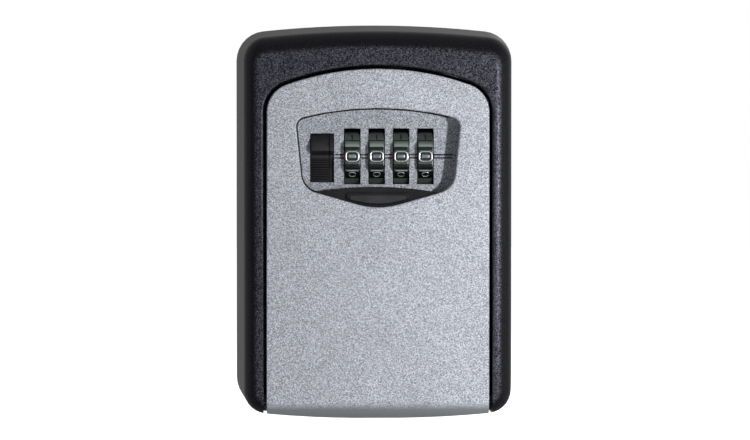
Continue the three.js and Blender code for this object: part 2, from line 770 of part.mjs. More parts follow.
const springGaps = [];

function latchSpring(side) {
  const length = footTop - coverFloor - 2 * seat;
  const { geometry, gap } = coil(latchCoil, latchTurns, length);
  springGaps.push(gap);
  const x = side * (legHalf + legInner) / 2;
  const y = latchFront + footLength - latchCoil - wire;
  return solid(geometry.translate(x, y, coverFloor + seat));
}

function clutchSpring() {
  const { geometry, gap } = coil(clutchCoil, clutchTurns, clutchLength);
  springGaps.push(gap);
  return solid(geometry.rotateY(Math.PI / 2).translate(springStart - clutchLength, axisY, axisZ));
}

function innerCover() {
  const low = axisZ + coverBottom;
  const high = axisZ + coverTop;
  const outer = rectangle(-coverHalf, coverHalf, low, high, coverCorner);
  const inner = rectangle(coverWall - coverHalf, coverHalf - coverWall, low + coverWall, high - coverWall,
    coverCorner - coverWall);
  const columns = coverScrews.map(([x, z]) =>
    rodY(x, z, columnRadius, coverFront, coverFace + coverWall / 2));
  const holes = coverScrews.map(([x, z]) => rodY(x, z, screwHole, coverFront - 1, coverBack + 1));
  const tabZ = tabHeight / 2 + seat;
  const slot = block(sliderX - seat, sliderX + sliderWidth + resetTravel + seat, coverFace - 1, coverBack + 1,
    axisZ - tabZ, axisZ + tabZ);
  return cut(
    join(cut(plate(outer, coverBack, coverFront), plate(inner, coverFace, coverFront - 1)), ...columns),
    ...holes,
    slot,
  );
}

function resetSlider() {
  const tall = sliderHeight / 2;
  const tab = tabHeight / 2;
  const end = sliderX + sliderWidth;
  return join(
    block(sliderX, end, axisY - clipRadius + seat, coverFace - seat, axisZ - tall, axisZ + tall),
    block(sliderX, end, axisY, coverBack + tabLength, axisZ - tab, axisZ + tab),
  );
}

// The shutter: a thin plate with an arched top, and a finger pad that follows the recess's point.
function shutter() {
  const span = Math.asin(shutterHalf / shutterArch);
  const arch = arc(0, shutterTop - shutterArch, shutterArch, Math.PI / 2 - span, Math.PI / 2 + span, 14);
  const foot = sides.map((side) => new THREE.Vector2(side * shutterHalf, shutterBottom));
  const outline = [...foot, ...arch];
  const sheet = plate(withoutRepeats(outline), shutterBack, shutterFront);
  const pad = plate(recessOutline(-seat - doorSkin / 2), shutterBack, shutterFront - padHeight)
    .intersect(plate(rectangle(-padHalf, padHalf, axisZ + recessPoint, axisZ + padTop, seat), shutterBack, front));
  return join(sheet, pad);
}

const finishes = {
  housing: { color: 0x3c3c42, roughness: 0.6, metalness: 0.3 },
  silver: { color: 0xb3b6c0, roughness: 0.5, metalness: 0.4 },
  dial: { color: 0x3f4545, roughness: 0.4, metalness: 0.7 },
  steel: { color: 0x9a9ca0, roughness: 0.35, metalness: 0.9 },
  black: { color: 0x1c1c1e, roughness: 0.5, metalness: 0 },
  cover: { color: 0x242426, roughness: 0.6, metalness: 0 },
};

const safe = new THREE.Group();

function add(name, finish, shape) {
  const { vertProperties, triVerts } = shape.getMesh();
  const geometry = new THREE.BufferGeometry();
  geometry.setAttribute('position', new THREE.BufferAttribute(new Float32Array(vertProperties), 3));
  geometry.setIndex(new THREE.BufferAttribute(new Uint32Array(triVerts), 1));
  geometry.computeVertexNormals();
  const mesh = new THREE.Mesh(geometry, new THREE.MeshStandardMaterial(finishes[finish]));
  mesh.name = name;
  safe.add(mesh);
}

add('housing', 'housing', housing());
add('hinge_pin', 'steel', hingePin());
add('door_shell', 'silver', doorShell());
add('dial_plate', 'silver', dialPlate());
dialXs.forEach((x, i) => {
  add(`dial_${i + 1}`, 'dial', dial(x));
  add(`code_sleeve_${i + 1}`, 'steel', sleeve(x, code[i % code.length]));
});
add('dial_shaft', 'steel', dialShaft());
add('shaft_clip_left', 'steel', shaftClip(leftClip));
add('shaft_clip_right', 'steel', shaftClip(rightClip));
add('reset_slider', 'black', resetSlider());
add('clutch_spring', 'steel', clutchSpring());
add('detent_spring', 'steel', detentSpring());
leafRivetXs.forEach((x, i) => {
  const head = plateBack + 2 * seat + leafThickness;
  add(`detent_rivet_${i + 1}`, 'steel', rivet(x, leafRivetZ, head, plateBack - rivetDepth));
});
add('open_lever', 'black', openLever());
add('latch_plate', 'steel', latchPlate());
leverRivetZs.forEach((z, i) => {
  add(`lever_rivet_${i + 1}`, 'steel', rivet(slotX, z, latchBack + seat, leverBack - rivetDepth));
});
add('latch_spring_left', 'steel', latchSpring(-1));
add('latch_spring_right', 'steel', latchSpring(1));
add('shutter', 'black', shutter());
add('inner_cover', 'cover', innerCover());
plateScrews.forEach(([x, z], i) => {
  add(`plate_screw_${i + 1}`, 'steel', screw(x, z, plateBack + seat, floorY - screwBite));
});
coverScrews.forEach(([x, z], i) => {
  add(`cover_screw_${i + 1}`, 'steel', screw(x, z, coverBack + seat, coverFront - screwBite));
});

console.log('least gap between a spring\'s turns, mm:', Math.min(...springGaps).toFixed(2));

export default safe;
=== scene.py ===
"""Looks of a wall-mounted key safe: finishes and fine surfaces set round its packed construction.

Lengths in this script are millimetres, and become metres where a mesh or a pattern is made. X runs to the
right, Y into the wall and Z up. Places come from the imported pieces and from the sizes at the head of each
class.
"""

import json
import logging
import math
from dataclasses import dataclass, field, replace
from enum import Enum
from typing import Callable, Sequence

import bmesh
import bpy
import numpy as np
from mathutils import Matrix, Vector
from mathutils.geometry import tessellate_polygon

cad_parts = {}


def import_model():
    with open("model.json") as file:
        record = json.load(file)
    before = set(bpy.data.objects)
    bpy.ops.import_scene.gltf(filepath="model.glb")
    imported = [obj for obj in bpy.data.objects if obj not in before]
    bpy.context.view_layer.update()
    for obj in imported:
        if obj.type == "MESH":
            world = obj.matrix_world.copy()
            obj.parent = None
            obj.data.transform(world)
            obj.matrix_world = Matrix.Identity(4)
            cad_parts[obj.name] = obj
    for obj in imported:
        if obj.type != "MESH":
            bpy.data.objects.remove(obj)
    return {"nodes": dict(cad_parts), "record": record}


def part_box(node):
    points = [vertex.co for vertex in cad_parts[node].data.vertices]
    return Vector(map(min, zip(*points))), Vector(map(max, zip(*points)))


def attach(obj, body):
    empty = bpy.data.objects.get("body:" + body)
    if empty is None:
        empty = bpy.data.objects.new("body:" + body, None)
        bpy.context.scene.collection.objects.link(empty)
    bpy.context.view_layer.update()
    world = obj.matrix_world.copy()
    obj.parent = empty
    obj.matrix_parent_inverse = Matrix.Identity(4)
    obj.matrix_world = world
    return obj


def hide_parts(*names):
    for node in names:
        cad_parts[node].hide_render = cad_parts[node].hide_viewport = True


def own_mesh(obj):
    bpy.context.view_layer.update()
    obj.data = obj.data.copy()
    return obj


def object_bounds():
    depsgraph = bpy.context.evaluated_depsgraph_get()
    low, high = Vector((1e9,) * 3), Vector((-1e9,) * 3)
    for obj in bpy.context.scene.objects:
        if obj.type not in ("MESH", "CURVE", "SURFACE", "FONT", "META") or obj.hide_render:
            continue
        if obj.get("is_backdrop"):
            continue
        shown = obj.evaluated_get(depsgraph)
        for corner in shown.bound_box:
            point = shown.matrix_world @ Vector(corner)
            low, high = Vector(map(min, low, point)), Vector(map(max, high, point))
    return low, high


MM = 0.001
IMAGE_WIDTH = 750
WELD = 0.06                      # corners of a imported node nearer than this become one
LOG = logging.getLogger("key_safe")

Grid = np.ndarray
Points = np.ndarray


class Axis(Enum):
    """Direction that a turned or extruded piece runs along."""

    X = 0
    Y = 1
    Z = 2


def linear(hex_colour: str) -> tuple[float, float, float, float]:
    """Turns an sRGB hex value into the linear colour that a shader takes.

    Args:
        hex_colour: six hex digits after a hash mark.

    Returns:
        Red, green, blue and full opacity, each from 0 to 1.
    """
    parts = [int(hex_colour[i:i + 2], 16) / 255 for i in (1, 3, 5)]
    red, green, blue = (c / 12.92 if c <= 0.04045 else ((c + 0.055) / 1.055) ** 2.4 for c in parts)
    return red, green, blue, 1.0


def per_metre(size_mm: float) -> float:
    """Scale of a pattern on Object coordinates whose features are size_mm across."""
    return 1 / (size_mm * MM)


# Nodes of a material


def feed(node: bpy.types.Node, settings: dict) -> None:
    """Sets properties and inputs of a node, and links each input that is given a socket.

    Args:
        node: the node.
        settings: property names, or input names and numbers, each with its value or the socket that feeds it.
    """
    for name, value in settings.items():
        if isinstance(name, str) and hasattr(node, name):
            setattr(node, name, value)
        elif isinstance(value, bpy.types.NodeSocket):
            node.id_data.links.new(value, node.inputs[name])
        else:
            node.inputs[name].default_value = value


def add_node(tree: bpy.types.NodeTree, kind: str, settings: dict | None = None,
             **links: bpy.types.NodeSocket) -> bpy.types.Node:
    """Adds one node with its settings and links.

    Args:
        tree: the node tree that gets the node.
        kind: the node's Blender type name.
        settings: what feed takes.
        **links: inputs by name, with an underscore for a space, each with the socket that feeds it.

    Returns:
        The new node.
    """
    node = tree.nodes.new(kind)
    feed(node, settings or {})
    for name, socket in links.items():
        wanted = name.replace("_", " ")
        target = next(s for s in node.inputs if s.name == wanted and s.enabled and not s.is_linked)
        tree.links.new(socket, target)
    return node


def new_material(name: str) -> tuple[bpy.types.Material, bpy.types.NodeTree, bpy.types.Node]:
    """Makes a material with a bare Principled shader.

    Args:
        name: the material's name.

    Returns:
        The material, its tree and its shader.
    """
    material = bpy.data.materials.new(name)
    material.use_nodes = True
    tree = material.node_tree
    tree.nodes.clear()
    shader = add_node(tree, "ShaderNodeBsdfPrincipled")
    add_node(tree, "ShaderNodeOutputMaterial", Surface=shader.outputs["BSDF"])
    return material, tree, shader


def object_place(tree: bpy.types.NodeTree, stretch: Sequence[float] = (1, 1, 1)) -> bpy.types.NodeSocket:
    """Object coordinates for a pattern.

    Args:
        tree: the material's tree.
        stretch: scale along each axis, which draws the pattern out where it is below 1.

    Returns:
        The coordinates.
    """
    place = add_node(tree, "ShaderNodeTexCoord").outputs["Object"]
    if tuple(stretch) == (1, 1, 1):
        return place
    mapping = add_node(tree, "ShaderNodeMapping", {"Scale": stretch}, Vector=place)
    return mapping.outputs["Vector"]


def ramp(tree: bpy.types.NodeTree, factor: bpy.types.NodeSocket,
         stops: Sequence[tuple[float, str]]) -> bpy.types.NodeSocket:
    """Colours along a factor.

    Args:
        tree: the material's tree.
        factor: the value that picks the colour.
        stops: positions from 0 to 1 with hex colours.

    Returns:
        The colour socket.
    """
    node = add_node(tree, "ShaderNodeValToRGB", Fac=factor)
    elements = node.color_ramp.elements
    while len(elements) < len(stops):
        elements.new(1.0)
    for element, (position, colour) in zip(elements, stops):
        element.position = position
        element.color = linear(colour)
    return node.outputs["Color"]


# Finishes


@dataclass(frozen=True)
class SprayedEnamel:
    """Enamel sprayed on a zinc casting, whose metal flake dries to a fine bright and dark grain."""

    name: str
    slot: str
    dark: str
    colour: str
    fleck: str
    grain_mm: float
    cloud_mm: float
    cloud: float                                # how much lighter and darker the clouds of tone are
    metallic: float
    roughness: float
    bump_mm: float
    specular: float
    bump: float = 0.6
    smooth: str = ""                            # colour of smooth sides, where the casting has them
    smooth_roughness: float = 0.5
    smooth_bump: Sequence[float] = (0.12, 0.8)  # strength of its bump on smooth sides, and elsewhere
    trace: float = 0.1                          # share of the grain's colour that the smooth sides keep
    face_mm: float = 0.0                        # depth of the grained face
    fade_mm: Sequence[float] = (0.1, 0.5)       # depths behind it between which its grain runs out
    land: str = ""                              # colour of a smooth land, where the casting has one
    land_mm: Sequence[float] = (0.0, 0.0)       # heights between which the grain thins out to it
    land_bump: float = 0.08

    def material(self) -> bpy.types.Material:
        """Builds the enamel: fine grain in three tones, soft clouds of tone, and a bump of the same grain.

        Returns:
            The material.
        """
        material, tree, shader = new_material(self.name)
        place = object_place(tree)
        grain = add_node(tree, "ShaderNodeTexNoise", {"Scale": per_metre(self.grain_mm), "Detail": 2.0,
                                                     "Roughness": 0.6}, Vector=place)
        flake = add_node(tree, "ShaderNodeTexVoronoi", {"Scale": per_metre(self.grain_mm * 0.8)},
                         Vector=place)
        cell = add_node(tree, "ShaderNodeSeparateColor", Color=flake.outputs["Color"])
        mixed = add_node(tree, "ShaderNodeMix", {"Factor": 0.4}, A=grain.outputs["Fac"],
                         B=cell.outputs["Red"])
        tone = ramp(tree, mixed.outputs["Result"],
                    [(0.3, self.dark), (0.47, self.colour), (0.68, self.fleck)])
        clouds = add_node(tree, "ShaderNodeTexNoise", {"Scale": per_metre(self.cloud_mm), "Detail": 3.0},
                          Vector=place)
        level = add_node(tree, "ShaderNodeMapRange", {"From Min": 0.3, "From Max": 0.7,
                                                      "To Min": 1 - self.cloud, "To Max": 1 + self.cloud},
                         Value=clouds.outputs["Fac"])
        shaded = add_node(tree, "ShaderNodeVectorMath", {"operation": "SCALE"}, Vector=tone,
                          Scale=level.outputs["Result"])
        bump = add_node(tree, "ShaderNodeBump", {"Strength": self.bump, "Distance": self.bump_mm * MM},
                        Height=mixed.outputs["Result"])
        feed(shader, {"Base Color": shaded.outputs["Vector"], "Normal": bump.outputs["Normal"],
                      "Metallic": self.metallic, "Roughness": self.roughness,
                      "Specular IOR Level": self.specular})
        if self.smooth:
            self.smooth_sides(tree, shader, bump)
        if self.land:
            self.smooth_land(tree, shader, bump)
        return material

    def smooth_sides(self, tree: bpy.types.NodeTree, shader: bpy.types.Node, bump: bpy.types.Node) -> None:
        """Keeps the grain on the face and where the piece's grained attribute marks it, and smooths the rest.

        Args:
            tree: the material's tree.
            shader: its shader, which has the grain's colour by now.
            bump: its bump.
        """
        across = add_node(tree, "ShaderNodeSeparateXYZ", Vector=object_place(tree))
        near, far = self.fade_mm
        at_face = add_node(tree, "ShaderNodeMapRange", {"From Min": (self.face_mm + far) * MM,
                                                        "From Max": (self.face_mm + near) * MM},
                           Value=across.outputs["Y"])
        marked = add_node(tree, "ShaderNodeAttribute", {"attribute_name": "grained"})
        either = add_node(tree, "ShaderNodeMath", {"operation": "MAXIMUM", 0: at_face.outputs["Result"],
                                                   1: marked.outputs["Fac"]})
        shares = {"trace": (self.trace, 1.0), "bump": self.smooth_bump, "metal": (0.0, self.metallic),
                  "gloss": (self.smooth_roughness, self.roughness)}
        eased = {name: add_node(tree, "ShaderNodeMapRange", {"To Min": on_side, "To Max": in_grain},
                                Value=either.outputs["Value"]).outputs["Result"]
                 for name, (on_side, in_grain) in shares.items()}
        grain = shader.inputs["Base Color"].links[0].from_socket
        plain = add_node(tree, "ShaderNodeMix", {"data_type": "RGBA", 6: linear(self.smooth), 7: grain},
                         Factor=eased["trace"])
        feed(bump, {"Strength": eased["bump"]})
        feed(shader, {"Base Color": plain.outputs[2], "Metallic": eased["metal"],
                      "Roughness": eased["gloss"]})

    def smooth_land(self, tree: bpy.types.NodeTree, shader: bpy.types.Node, bump: bpy.types.Node) -> None:
        """Thins the grain out to a plain land between two heights.

        Args:
            tree: the material's tree.
            shader: its shader, which has the grain's colour by now.
            bump: its bump.
        """
        height = add_node(tree, "ShaderNodeSeparateXYZ", Vector=object_place(tree))
        start, end = self.land_mm
        share = add_node(tree, "ShaderNodeMapRange", {"From Min": start * MM, "From Max": end * MM},
                         Value=height.outputs["Z"])
        grain = shader.inputs["Base Color"].links[0].from_socket
        thin = add_node(tree, "ShaderNodeMix", {"data_type": "RGBA", 6: grain, 7: linear(self.land)},
                        Factor=share.outputs["Result"])
        flat = add_node(tree, "ShaderNodeMapRange", {"To Min": self.bump, "To Max": self.land_bump},
                        Value=share.outputs["Result"])
        feed(bump, {"Strength": flat.outputs["Result"]})
        feed(shader, {"Base Color": thin.outputs[2]})


@dataclass(frozen=True)
class WorkedMetal:
    """Bare or plated metal with the fine lines that a tool, a roller or a brush left along one direction."""

    name: str
    slot: str
    colour: str
    stain: str
    roughness: float
    line_mm: float
    lines: Sequence[float]       # scale of the lines along each axis, below 1 where they run
    patch_mm: float = 6.0
    bump_mm: float = 0.01

    def material(self) -> bpy.types.Material:
        """Builds the metal: patches of tone, and lines in its gloss and its bump.

        Returns:
            The material.
        """
        material, tree, shader = new_material(self.name)
        patches = add_node(tree, "ShaderNodeTexNoise", {"Scale": per_metre(self.patch_mm), "Detail": 4.0,
                                                       "Roughness": 0.6}, Vector=object_place(tree))
        colour = ramp(tree, patches.outputs["Fac"], [(0.3, self.stain), (0.62, self.colour)])
        lines = add_node(tree, "ShaderNodeTexNoise", {"Scale": per_metre(self.line_mm), "Detail": 2.0},
                         Vector=object_place(tree, self.lines))
        gloss = add_node(tree, "ShaderNodeMapRange", {"To Min": self.roughness * 0.75,
                                                      "To Max": self.roughness * 1.3},
                         Value=lines.outputs["Fac"])
        bump = add_node(tree, "ShaderNodeBump", {"Strength": 0.5, "Distance": self.bump_mm * MM},
                        Height=lines.outputs["Fac"])
        feed(shader, {"Base Color": colour, "Roughness": gloss.outputs["Result"],
                      "Normal": bump.outputs["Normal"], "Metallic": 1.0})
        return material


@dataclass(frozen=True)
class DialMetal:
    """Cast zinc darkened in a bath, with painted shade beside its ridges, and on the ridges rubbed metal with
    a painted highlight.
    """

    name: str
    slot: str
    # colour of dark grain, and of the painted shade beside the ridges and at the top of the window
    grime_and_painted_shade: str
    face: str
    # colour of rubbed metal, and of the painted highlight on the ridges' upper slopes
    worn_and_painted_highlight: str
    roughness: float
    grain_mm: float
    metallic: float = 0.85       # the bath's dark skin takes some of the metal's shine
    bump_mm: float = 0.03

    def material(self) -> bpy.types.Material:
        """Builds the dial metal, whose colour runs from dark grain and painted shade through the face to
        rubbed metal and painted highlight with the piece's attribute of rubbing and painted light.

        The ramp reads that attribute plus half of a fine grain.

        Returns:
            The material.
        """
        material, tree, shader = new_material(self.name)
        grain = add_node(tree, "ShaderNodeTexNoise", {"Scale": per_metre(self.grain_mm), "Detail": 3.0,
                                                     "Roughness": 0.65}, Vector=object_place(tree))
        wear_and_painted_light = add_node(tree, "ShaderNodeAttribute", {"attribute_name": "wear_and_painted_light"})
        rubbed = add_node(tree, "ShaderNodeMath", {"operation": "MULTIPLY_ADD", 0: grain.outputs["Fac"],
                                                   1: 0.5, 2: wear_and_painted_light.outputs["Fac"]})
        colour = ramp(tree, rubbed.outputs["Value"],
                      [(0.0, self.grime_and_painted_shade), (0.25, self.face), (0.8, self.worn_and_painted_highlight)])
        bump = add_node(tree, "ShaderNodeBump", {"Strength": 0.4, "Distance": self.bump_mm * MM},
                        Height=grain.outputs["Fac"])
        feed(shader, {"Base Color": colour, "Roughness": self.roughness, "Normal": bump.outputs["Normal"],
                      "Metallic": self.metallic})
        return material


@dataclass(frozen=True)
class MouldedPlastic:
    """Injection-moulded plastic with the fine spark-eroded grain of its mould."""

    name: str
    slot: str
    colour: str
    scuff: str
    roughness: float
    grain_mm: float
    bump_mm: float
    streak: Sequence[float] = (1, 1, 1)   # scale of the grain along each axis, below 1 if drawn out
    specular: float = 0.3
    patch_mm: float = 5.0                 # size of the rubbed patches
    ior: float = 1.49

    def material(self) -> bpy.types.Material:
        """Builds the plastic: a near-even colour, with its grain in the bump and rubbed patches in the gloss.

        Returns:
            The material.
        """
        material, tree, shader = new_material(self.name)
        grain = add_node(tree, "ShaderNodeTexNoise", {"Scale": per_metre(self.grain_mm), "Detail": 2.0},
                         Vector=object_place(tree, self.streak))
        rubbed = add_node(tree, "ShaderNodeTexNoise", {"Scale": per_metre(self.patch_mm), "Detail": 3.0},
                          Vector=object_place(tree))
        blend = add_node(tree, "ShaderNodeMix", {"Factor": 0.5}, A=grain.outputs["Fac"],
                         B=rubbed.outputs["Fac"])
        colour = ramp(tree, blend.outputs["Result"], [(0.38, self.colour), (0.66, self.scuff)])
        gloss = add_node(tree, "ShaderNodeMapRange", {"From Min": 0.3, "From Max": 0.7,
                                                      "To Min": self.roughness * 1.15,
                                                      "To Max": self.roughness * 0.85},
                         Value=rubbed.outputs["Fac"])
        bump = add_node(tree, "ShaderNodeBump", {"Strength": 0.5, "Distance": self.bump_mm * MM},
                        Height=grain.outputs["Fac"])
        feed(shader, {"Base Color": colour, "Roughness": gloss.outputs["Result"],
                      "Normal": bump.outputs["Normal"], "IOR": self.ior, "Specular IOR Level": self.specular})
        return material


# The door: silver enamel with a fine pale grain of flake, which thins out to a smooth land on the round lip.
SILVER_ENAMEL = SprayedEnamel("silver flake enamel", "door_paint", dark="#7C7F89", colour="#B2B5C0",
                              fleck="#EEF1FA", grain_mm=0.27, cloud_mm=14.0, cloud=0.04, metallic=0.0,
                              roughness=0.5, bump_mm=0.07, specular=0.3, land="#84898C",
                              land_mm=(-53.0, -55.2))
# The plate under the dials has the same enamel, a little darker: painted shade of the recess.
PLATE_ENAMEL_PAINTED_SHADE = replace(SILVER_ENAMEL, name="silver flake enamel with painted shade", dark="#666972", colour="#9A9EA7",
                       fleck="#D6D9E2", land="")
# The housing: near-black enamel with a slightly coarser grain than the door's and a few pale flakes. Its
# outer sides are sprayed smooth.
CHARCOAL_ENAMEL = SprayedEnamel("charcoal textured enamel", "housing_paint", dark="#131316", colour="#27272D",
                                fleck="#50505A", grain_mm=0.33, cloud_mm=11.0, cloud=0.08, metallic=0.8,
                                roughness=0.38, bump_mm=0.07, specular=0.07, smooth="#09090C",
                                smooth_roughness=0.56, face_mm=-34.0)
# The dials: grey-green faces, pale ridges that are partly rubbed by a thumb and partly painted highlight on
# their upper slopes, and painted shade beside the ridges.
DIAL_ZINC = DialMetal("darkened zinc", "dial_metal", grime_and_painted_shade="#08090A", face="#282D2E", worn_and_painted_highlight="#7B847D",
                      roughness=0.36, grain_mm=0.4)
# Plated steel: a slightly blue, even silver with faint rolling lines.
ZINC_PLATE = WorkedMetal("zinc plated steel", "steel", colour="#B9BBBF", stain="#8F9297", roughness=0.34,
                         line_mm=0.25, lines=(0.15, 1, 1))
# Springs: drawn wire and strip, greyer and glossier than the plated pieces.
SPRING_STEEL = WorkedMetal("drawn spring steel", "steel", colour="#A2A3A6", stain="#737478", roughness=0.28,
                           line_mm=0.2, lines=(1, 1, 0.5))
# The code sleeves: yellow brass with the fine rings of the lathe.
TURNED_BRASS = WorkedMetal("turned brass", "brass", colour="#D0AC63", stain="#9C7B3E", roughness=0.26,
                           line_mm=0.12, lines=(1, 0.06, 0.06))
# The bright lips of the figures: nickel without lines.
BRIGHT_NICKEL = WorkedMetal("bright nickel figure", "dial_metal", colour="#E4E7EA", stain="#BCC0C5",
                            roughness=0.2, line_mm=0.3, lines=(1, 1, 1), patch_mm=2.0, bump_mm=0.002)
# The nought's core: the dial's own zinc, rubbed grey. On the lip over the nought it is painted shade.
RUBBED_ZINC = WorkedMetal("rubbed zinc", "dial_metal", colour="#7C8284", stain="#5C6263", roughness=0.3,
                          line_mm=0.3, lines=(1, 1, 1), patch_mm=1.5, bump_mm=0.004)
# The hinge pin and the latch: steel blacked in a hot bath, dull and nearly even.
BLACKED_STEEL = WorkedMetal("black oxide steel", "steel", colour="#2B2C2F", stain="#1B1C1E", roughness=0.45,
                            line_mm=0.25, lines=(0.1, 1, 1))
# The lever: black acetal with a slight gloss, scuffed along its ribs.
BLACK_ACETAL = MouldedPlastic("black acetal", "black_plastic", colour="#151316", scuff="#211F23",
                              roughness=0.42, grain_mm=0.3, bump_mm=0.012, streak=(0.3, 1, 1))
# The paint in the figures and in the engraved lines: dull black. On the lip over face 1 and on the band along
# the recess floor it is painted shade.
INFILL = MouldedPlastic("black figure infill", "dial_metal", colour="#0C0D0F", scuff="#191B1E",
                        roughness=0.5, grain_mm=0.2, bump_mm=0.005)
# The inner cover and the reset slider: nylon that its glass fibres make coarse and grey.
COVER_NYLON = MouldedPlastic("black glass-filled nylon", "black_plastic", colour="#1E1E20", scuff="#2C2C2F",
                             roughness=0.55, grain_mm=0.5, bump_mm=0.03)
# The shutter: nylon with a fine drawn-out grain, and a paler pad where fingertips push it.
SHUTTER_NYLON = MouldedPlastic("grained nylon", "shutter_plastic", colour="#141416", scuff="#1F1F22",
                               roughness=0.55, grain_mm=0.35, bump_mm=0.03, streak=(0.25, 1, 1),
                               specular=0.15)
PAD_NYLON = MouldedPlastic("rubbed nylon pad", "shutter_plastic", colour="#323235", scuff="#3D3D41",
                           roughness=0.55, grain_mm=0.35, bump_mm=0.02, streak=(0.2, 1, 1), specular=0.15)

Finish = SprayedEnamel | WorkedMetal | DialMetal | MouldedPlastic


# Surfaces


def new_object(name: str, points: Points, faces: Sequence[Sequence[int]]) -> bpy.types.Object:
    """Puts points and their faces into a new smooth object in the scene.

    Args:
        name: the piece's name.
        points: one row per vertex, in metres.
        faces: vertex numbers of each face.

    Returns:
        The new object, at the origin.
    """
    mesh = bpy.data.meshes.new(name)
    mesh.from_pydata(points.tolist(), [], faces)
    mesh.shade_smooth()
    mesh.update()
    piece = bpy.data.objects.new(name, mesh)
    bpy.context.scene.collection.objects.link(piece)
    return piece


def rows_of(items: bpy.types.bpy_prop_collection, name: str, kind: type = float) -> np.ndarray:
    """One row of three numbers for each vertex, face or triangle of a mesh.

    Args:
        items: the mesh's vertices, polygons or triangles.
        name: what is read of each.
        kind: float or int.

    Returns:
        The rows.
    """
    values = np.zeros(len(items) * 3, kind)
    items.foreach_get(name, values)
    return values.reshape(-1, 3)


def mesh_from(name: str, points: Points, faces: Sequence[Sequence[int]]) -> bpy.types.Object:
    """Puts points and faces into a new smooth object, with its faces turned outwards.

    Args:
        name: the piece's name.
        points: one row per vertex, in millimetres.
        faces: vertex numbers of each face, all turning the same way round.

    Returns:
        The new object, at the origin.
    """
    outwards = faces if enclosed(points, faces) > 0 else [list(face)[::-1] for face in faces]
    return new_object(name, points * MM, outwards)


def enclosed(points: Points, faces: Sequence[Sequence[int]]) -> float:
    """Volume inside a closed mesh, which is positive if its faces point outwards.

    It is the sum, over fans of triangles, of a sixth of their corners' triple product.

    Args:
        points: one row per vertex.
        faces: vertex numbers of each face.

    Returns:
        The volume with its sign.
    """
    centre = points.mean(0)
    total = 0.0
    by_size: dict[int, list] = {}
    for face in faces:
        by_size.setdefault(len(face), []).append(face)
    for size, group in by_size.items():
        corners = points[np.array(group)] - centre
        for k in range(1, size - 1):
            total += np.einsum("ij,ij->", corners[:, 0], np.cross(corners[:, k], corners[:, k + 1])) / 6
    return float(total)


def loop_quads(rows: int, columns: int, row_loop: bool) -> list[list[int]]:
    """Quads between closed loops of vertices.

    Args:
        rows: number of loops.
        columns: number of vertices in a loop.
        row_loop: True if the last loop joins the first.

    Returns:
        Four vertex numbers for each quad.
    """
    row = np.arange(rows if row_loop else rows - 1)
    row, column = np.meshgrid(row, np.arange(columns), indexing="ij")
    down, right = (row + 1) % rows, (column + 1) % columns
    corners = [row * columns + column, row * columns + right, down * columns + right, down * columns + column]
    return np.stack(corners, -1).reshape(-1, 4).tolist()


def skin(name: str, grid: Grid, row_loop: bool = False) -> bpy.types.Object:
    """Skin over closed loops of points, with flat ends unless the last loop joins the first.

    Args:
        name: the piece's name.
        grid: loops by points by three coordinates.
        row_loop: True if the last loop joins the first.

    Returns:
        The new object.
    """
    rows, columns = grid.shape[:2]
    faces = loop_quads(rows, columns, row_loop)
    if not row_loop:
        faces.append(list(range(columns))[::-1])
        faces.append(list(range((rows - 1) * columns, rows * columns)))
    return mesh_from(name, grid.reshape(-1, 3), faces)


def inset(outline: Points, distance: float) -> Points:
    """A closed outline drawn in along the mean normal of its two sides at each corner.

    Args:
        outline: points in order, turning counter-clockwise.
        distance: how far each side moves inwards.

    Returns:
        As many points.
    """
    side = np.roll(outline, -1, 0) - outline
    side /= np.maximum(np.linalg.norm(side, axis=1, keepdims=True), 1e-9)
    normal = np.stack([-side[:, 1], side[:, 0]], 1)
    mean = normal + np.roll(normal, 1, 0)
    mean /= np.maximum(np.linalg.norm(mean, axis=1, keepdims=True), 1e-9)
    stretch = np.clip((mean * normal).sum(1, keepdims=True), 0.5, 1)
    return outline + mean * distance / stretch


def turning(outline: Points) -> Points:
    """Puts an outline in counter-clockwise order, in which the area it encloses is positive.

    Args:
        outline: points in order.

    Returns:
        The same points, in reverse if they turned clockwise.
    """
    x, y = outline.T
    area = (x * np.roll(y, -1) - np.roll(x, -1) * y).sum()
    return outline if area > 0 else outline[::-1]


def placed(outline: Points, depth: float, axis: Axis) -> Points:
    """Puts an outline at a depth along an axis.

    Args:
        outline: points by the two coordinates across the axis: Y and Z for X, X and Z for Y, X and Y for Z.
        depth: the coordinate along the axis.
        axis: the axis.

    Returns:
        Points by three coordinates.
    """
    return np.insert(outline, axis.value, depth, axis=1)


def slab(name: str, outline: Points, low: float, high: float, edge: float, axis: Axis,
         low_edge: float | None = None, steps: int = 4) -> bpy.types.Object:
    """A flat piece with its outline carried along an axis, and a quarter round on the rim of each end.

    The rim at a turn t from 0 to 90 degrees is drawn in by edge * (1 - sin t) and lies edge * (1 - cos t)
    inside the end.

    Args:
        name: the piece's name.
        outline: the section across the axis.
        low: the lower end.
        high: the higher end.
        edge: radius of the rim at the higher end.
        axis: the axis that the section is carried along.
        low_edge: radius of the rim at the lower end, if another.
        steps: parts that each quarter round is drawn in.

    Returns:
        The new object.
    """
    outline = turning(outline)
    low_edge = edge if low_edge is None else low_edge
    turn = np.linspace(0, np.pi / 2, steps + 1)
    lower = [(low_edge * (1 - np.sin(t)), low + low_edge * (1 - np.cos(t))) for t in turn]
    upper = [(edge * (1 - np.sin(t)), high - edge * (1 - np.cos(t))) for t in turn[::-1]]
    loops = [placed(inset(outline, drawn), depth, axis) for drawn, depth in lower + upper]
    return skin(name, np.array(loops))


def arc(centre: Sequence[float], radius: float, start: float, end: float, steps: int) -> Points:
    """Points on a circle from one angle to another, in degrees."""
    angle = np.radians(np.linspace(start, end, steps + 1))
    return np.stack([centre[0] + radius * np.cos(angle), centre[1] + radius * np.sin(angle)], 1)


def oval(cx: float, cz: float, rx: float, rz: float, start: float = 0, end: float = 360) -> Points:
    """Points on an ellipse round (cx, cz) with half axes rx and rz, from one angle to another in degrees."""
    return arc((0, 0), 1, start, end, 40) * np.array([rx, rz]) + np.array([cx, cz])


